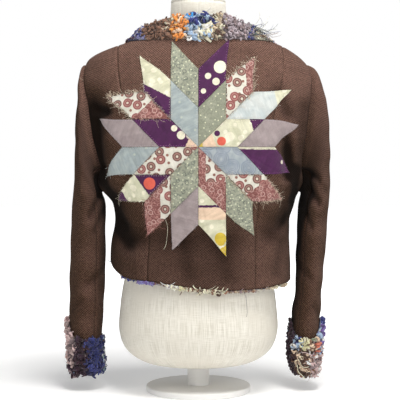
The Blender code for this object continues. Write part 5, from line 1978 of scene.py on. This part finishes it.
def print_rings(cloth, base):
    """Brown and red discs with a pale eye and a ring, and small dots between them."""
    near, tone = cloth.cells(0.0235, 0.45)
    small, _ = cloth.cells(0.0235, 0.45, (0.5, 0.5, 0))
    color = cloth.mix(cloth.ramp(small, 0.13, 0.10), base, (0.26, 0.12, 0.09))
    rough = cloth.total(near, (cloth.noise(0.0022), 0.05))
    reddish = cloth.ramp(cloth.channels(tone)[0], 0.45, 0.55)
    disc = cloth.mix(reddish, (0.17, 0.085, 0.068), (0.27, 0.085, 0.080))
    color = cloth.mix(cloth.ramp(rough, 0.43, 0.40), color, disc)
    color = cloth.mix(cloth.band(rough, 0.24, 0.30, 0.02), color, (0.40, 0.21, 0.18))
    return cloth.mix(cloth.ramp(rough, 0.14, 0.11), color, (0.62, 0.56, 0.46))


def print_maroon(cloth, base):
    """Mottled maroon with faint pale rings."""
    near, _ = cloth.cells(0.016, 0.8)
    mottle = cloth.ramp(cloth.noise(0.0030, detail=3.0), 0.42, 0.62)
    color = cloth.mix(mottle, (0.19, 0.062, 0.056), (0.40, 0.20, 0.175))
    color = cloth.mix(cloth.band(near, 0.22, 0.30, 0.03), color, (0.52, 0.34, 0.30))
    return cloth.mix(cloth.ramp(near, 0.10, 0.06), color, base)


def make_materials():
    """Every material, by the name of its diamond or of its slot."""
    made = {name: make_patch(name, PRINT_SEED + index) for index, name in enumerate(PATCHES)}
    made["brown_wool"] = make_wool()
    made["linen"] = make_linen()
    made["stand_paint"] = make_paint()
    made["rag_trim"] = make_rags()
    return made


def aim(name, data, place, target):
    """A light or a camera at a place, turned towards a target."""
    made = bpy.data.objects.new(name, data)
    made.location = place
    away = Vector(np.array(place) - np.array(target))
    made.rotation_euler = away.to_track_quat("Z", "Y").to_euler()
    bpy.context.scene.collection.objects.link(made)
    return made


def add_light(name, place, target, size, power, color):
    """A square area light."""
    data = bpy.data.lights.new(name, "AREA")
    data.size = size
    data.energy = power
    data.color = color
    aim(name, data, place, target)


def add_floor():
    """A pale floor that glows more and more away from the jacket, and meets the white round it."""
    mesh = bpy.data.meshes.new("floor")
    corners = [(x * FLOOR_REACH, y * FLOOR_REACH) for x, y in ((-1, -1), (1, -1), (1, 1), (-1, 1))]
    mesh.from_pydata([(x, y, -FLOOR_DROP) for x, y in corners], [], [(0, 1, 2, 3)])
    paint = Cloth("floor", (0.85, 0.85, 0.85), 1.0)
    place = paint.node("ShaderNodeTexCoord").outputs["Object"]
    away = paint.node("ShaderNodeVectorMath", {0: place}, operation="LENGTH").outputs["Value"]
    glow = paint.node("ShaderNodeMapRange", {"Value": away} | FLOOR_GLOW).outputs["Result"]
    paint.shader.inputs["Emission Color"].default_value = (1, 1, 1, 1)
    paint.tree.links.new(glow, paint.shader.inputs["Emission Strength"])
    mesh.materials.append(paint.material)
    floor = bpy.data.objects.new("floor", mesh)
    bpy.context.scene.collection.objects.link(floor)


def light_world():
    """White round the horizon and a dim grey sky above it."""
    world = bpy.data.worlds.new("world")
    bpy.context.scene.world = world
    world.use_nodes = True
    tree = world.node_tree
    place = add_node(tree, "ShaderNodeTexCoord").outputs["Generated"]
    up = add_node(tree, "ShaderNodeSeparateXYZ", {0: place}).outputs[2]
    rise = add_node(tree, "ShaderNodeMapRange", {"Value": up} | SKY_RISE).outputs["Result"]
    mix = add_node(tree, "ShaderNodeMix", {0: rise, 6: HORIZON, 7: SKY}, data_type="RGBA")
    tree.links.new(mix.outputs[2], tree.nodes["Background"].inputs["Color"])


def add_camera():
    """The camera behind the jacket, square to its back."""
    data = bpy.data.cameras.new("camera")
    data.sensor_width = 36
    data.lens = data.sensor_width / 2 / math.tan(math.radians(CAMERA_FIELD / 2))
    bpy.context.scene.camera = aim("camera", data, CAMERA_PLACE, CAMERA_TARGET)


def add_form():
    """The dress form on its stand."""
    add_turned("base", rounded(BASE_RADIUS, 0.0, BASE_THICK, BASE_EDGE))
    add_turned("stem", [(STEM_RADIUS, BASE_THICK + SEAM_GAP), (STEM_RADIUS, FORM_FOOT)])
    add_lofted("dress_form", FORM, 150, FORM_SEAMS)
    add_lofted("neck_cap", NECK_CAP, 24, CAP_SEAMS)


def add_jacket():
    """The jacket's wool pieces, and each of its trims as a backing and its rags."""
    wool, trims = [add_back_centre()], {}
    for side, word in ((-1, "left"), (1, "right")):
        wool.append(add_back_side(side, f"back_side_{word}"))
        wool.append(add_front(side, f"front_{word}"))
        trims[f"front_trim_{word}"] = add_front_trim(side, f"front_trim_{word}")
    wool += add_sleeve(-1, "sleeve_left", SLEEVE_LEFT_CREASES, LEFT_PAINTED_SHADE)
    wool += add_sleeve(1, "sleeve_right", SLEEVE_RIGHT_CREASES, RIGHT_PAINTED_SHADE)
    trims["cuff_left"] = add_cuff(-1, "cuff_left", 0, CUFF_LEFT_ZONES)
    trims["cuff_right"] = add_cuff(1, "cuff_right", 1, CUFF_RIGHT_ZONES)
    trims["collar_trim"] = add_collar()
    trims["hem_trim"] = add_hem_trim()
    return wool, trims


def add_star():
    """The star's diamonds, and the threads that sew them on and hang from their edges."""
    corners = star_corners()
    patches = [
        add_patch(name, shape, PATCHES[name][1], PATCH_SEED + index)
        for index, (name, shape) in enumerate(corners.items())
    ]
    return patches, [add_stitches(corners), add_frays(corners)]


def main():
    """Build the dressed form, and add the floor, camera and lights."""
    add_form()
    wool, trims = add_jacket()
    patches, sewing = add_star()
    add_wisps()
    light_world()
    add_floor()
    add_camera()
    for light in LIGHTS[1:]:
        add_light(*light)
    bpy.context.scene.view_settings.view_transform = "Standard"


MATERIALS = make_materials()
main()
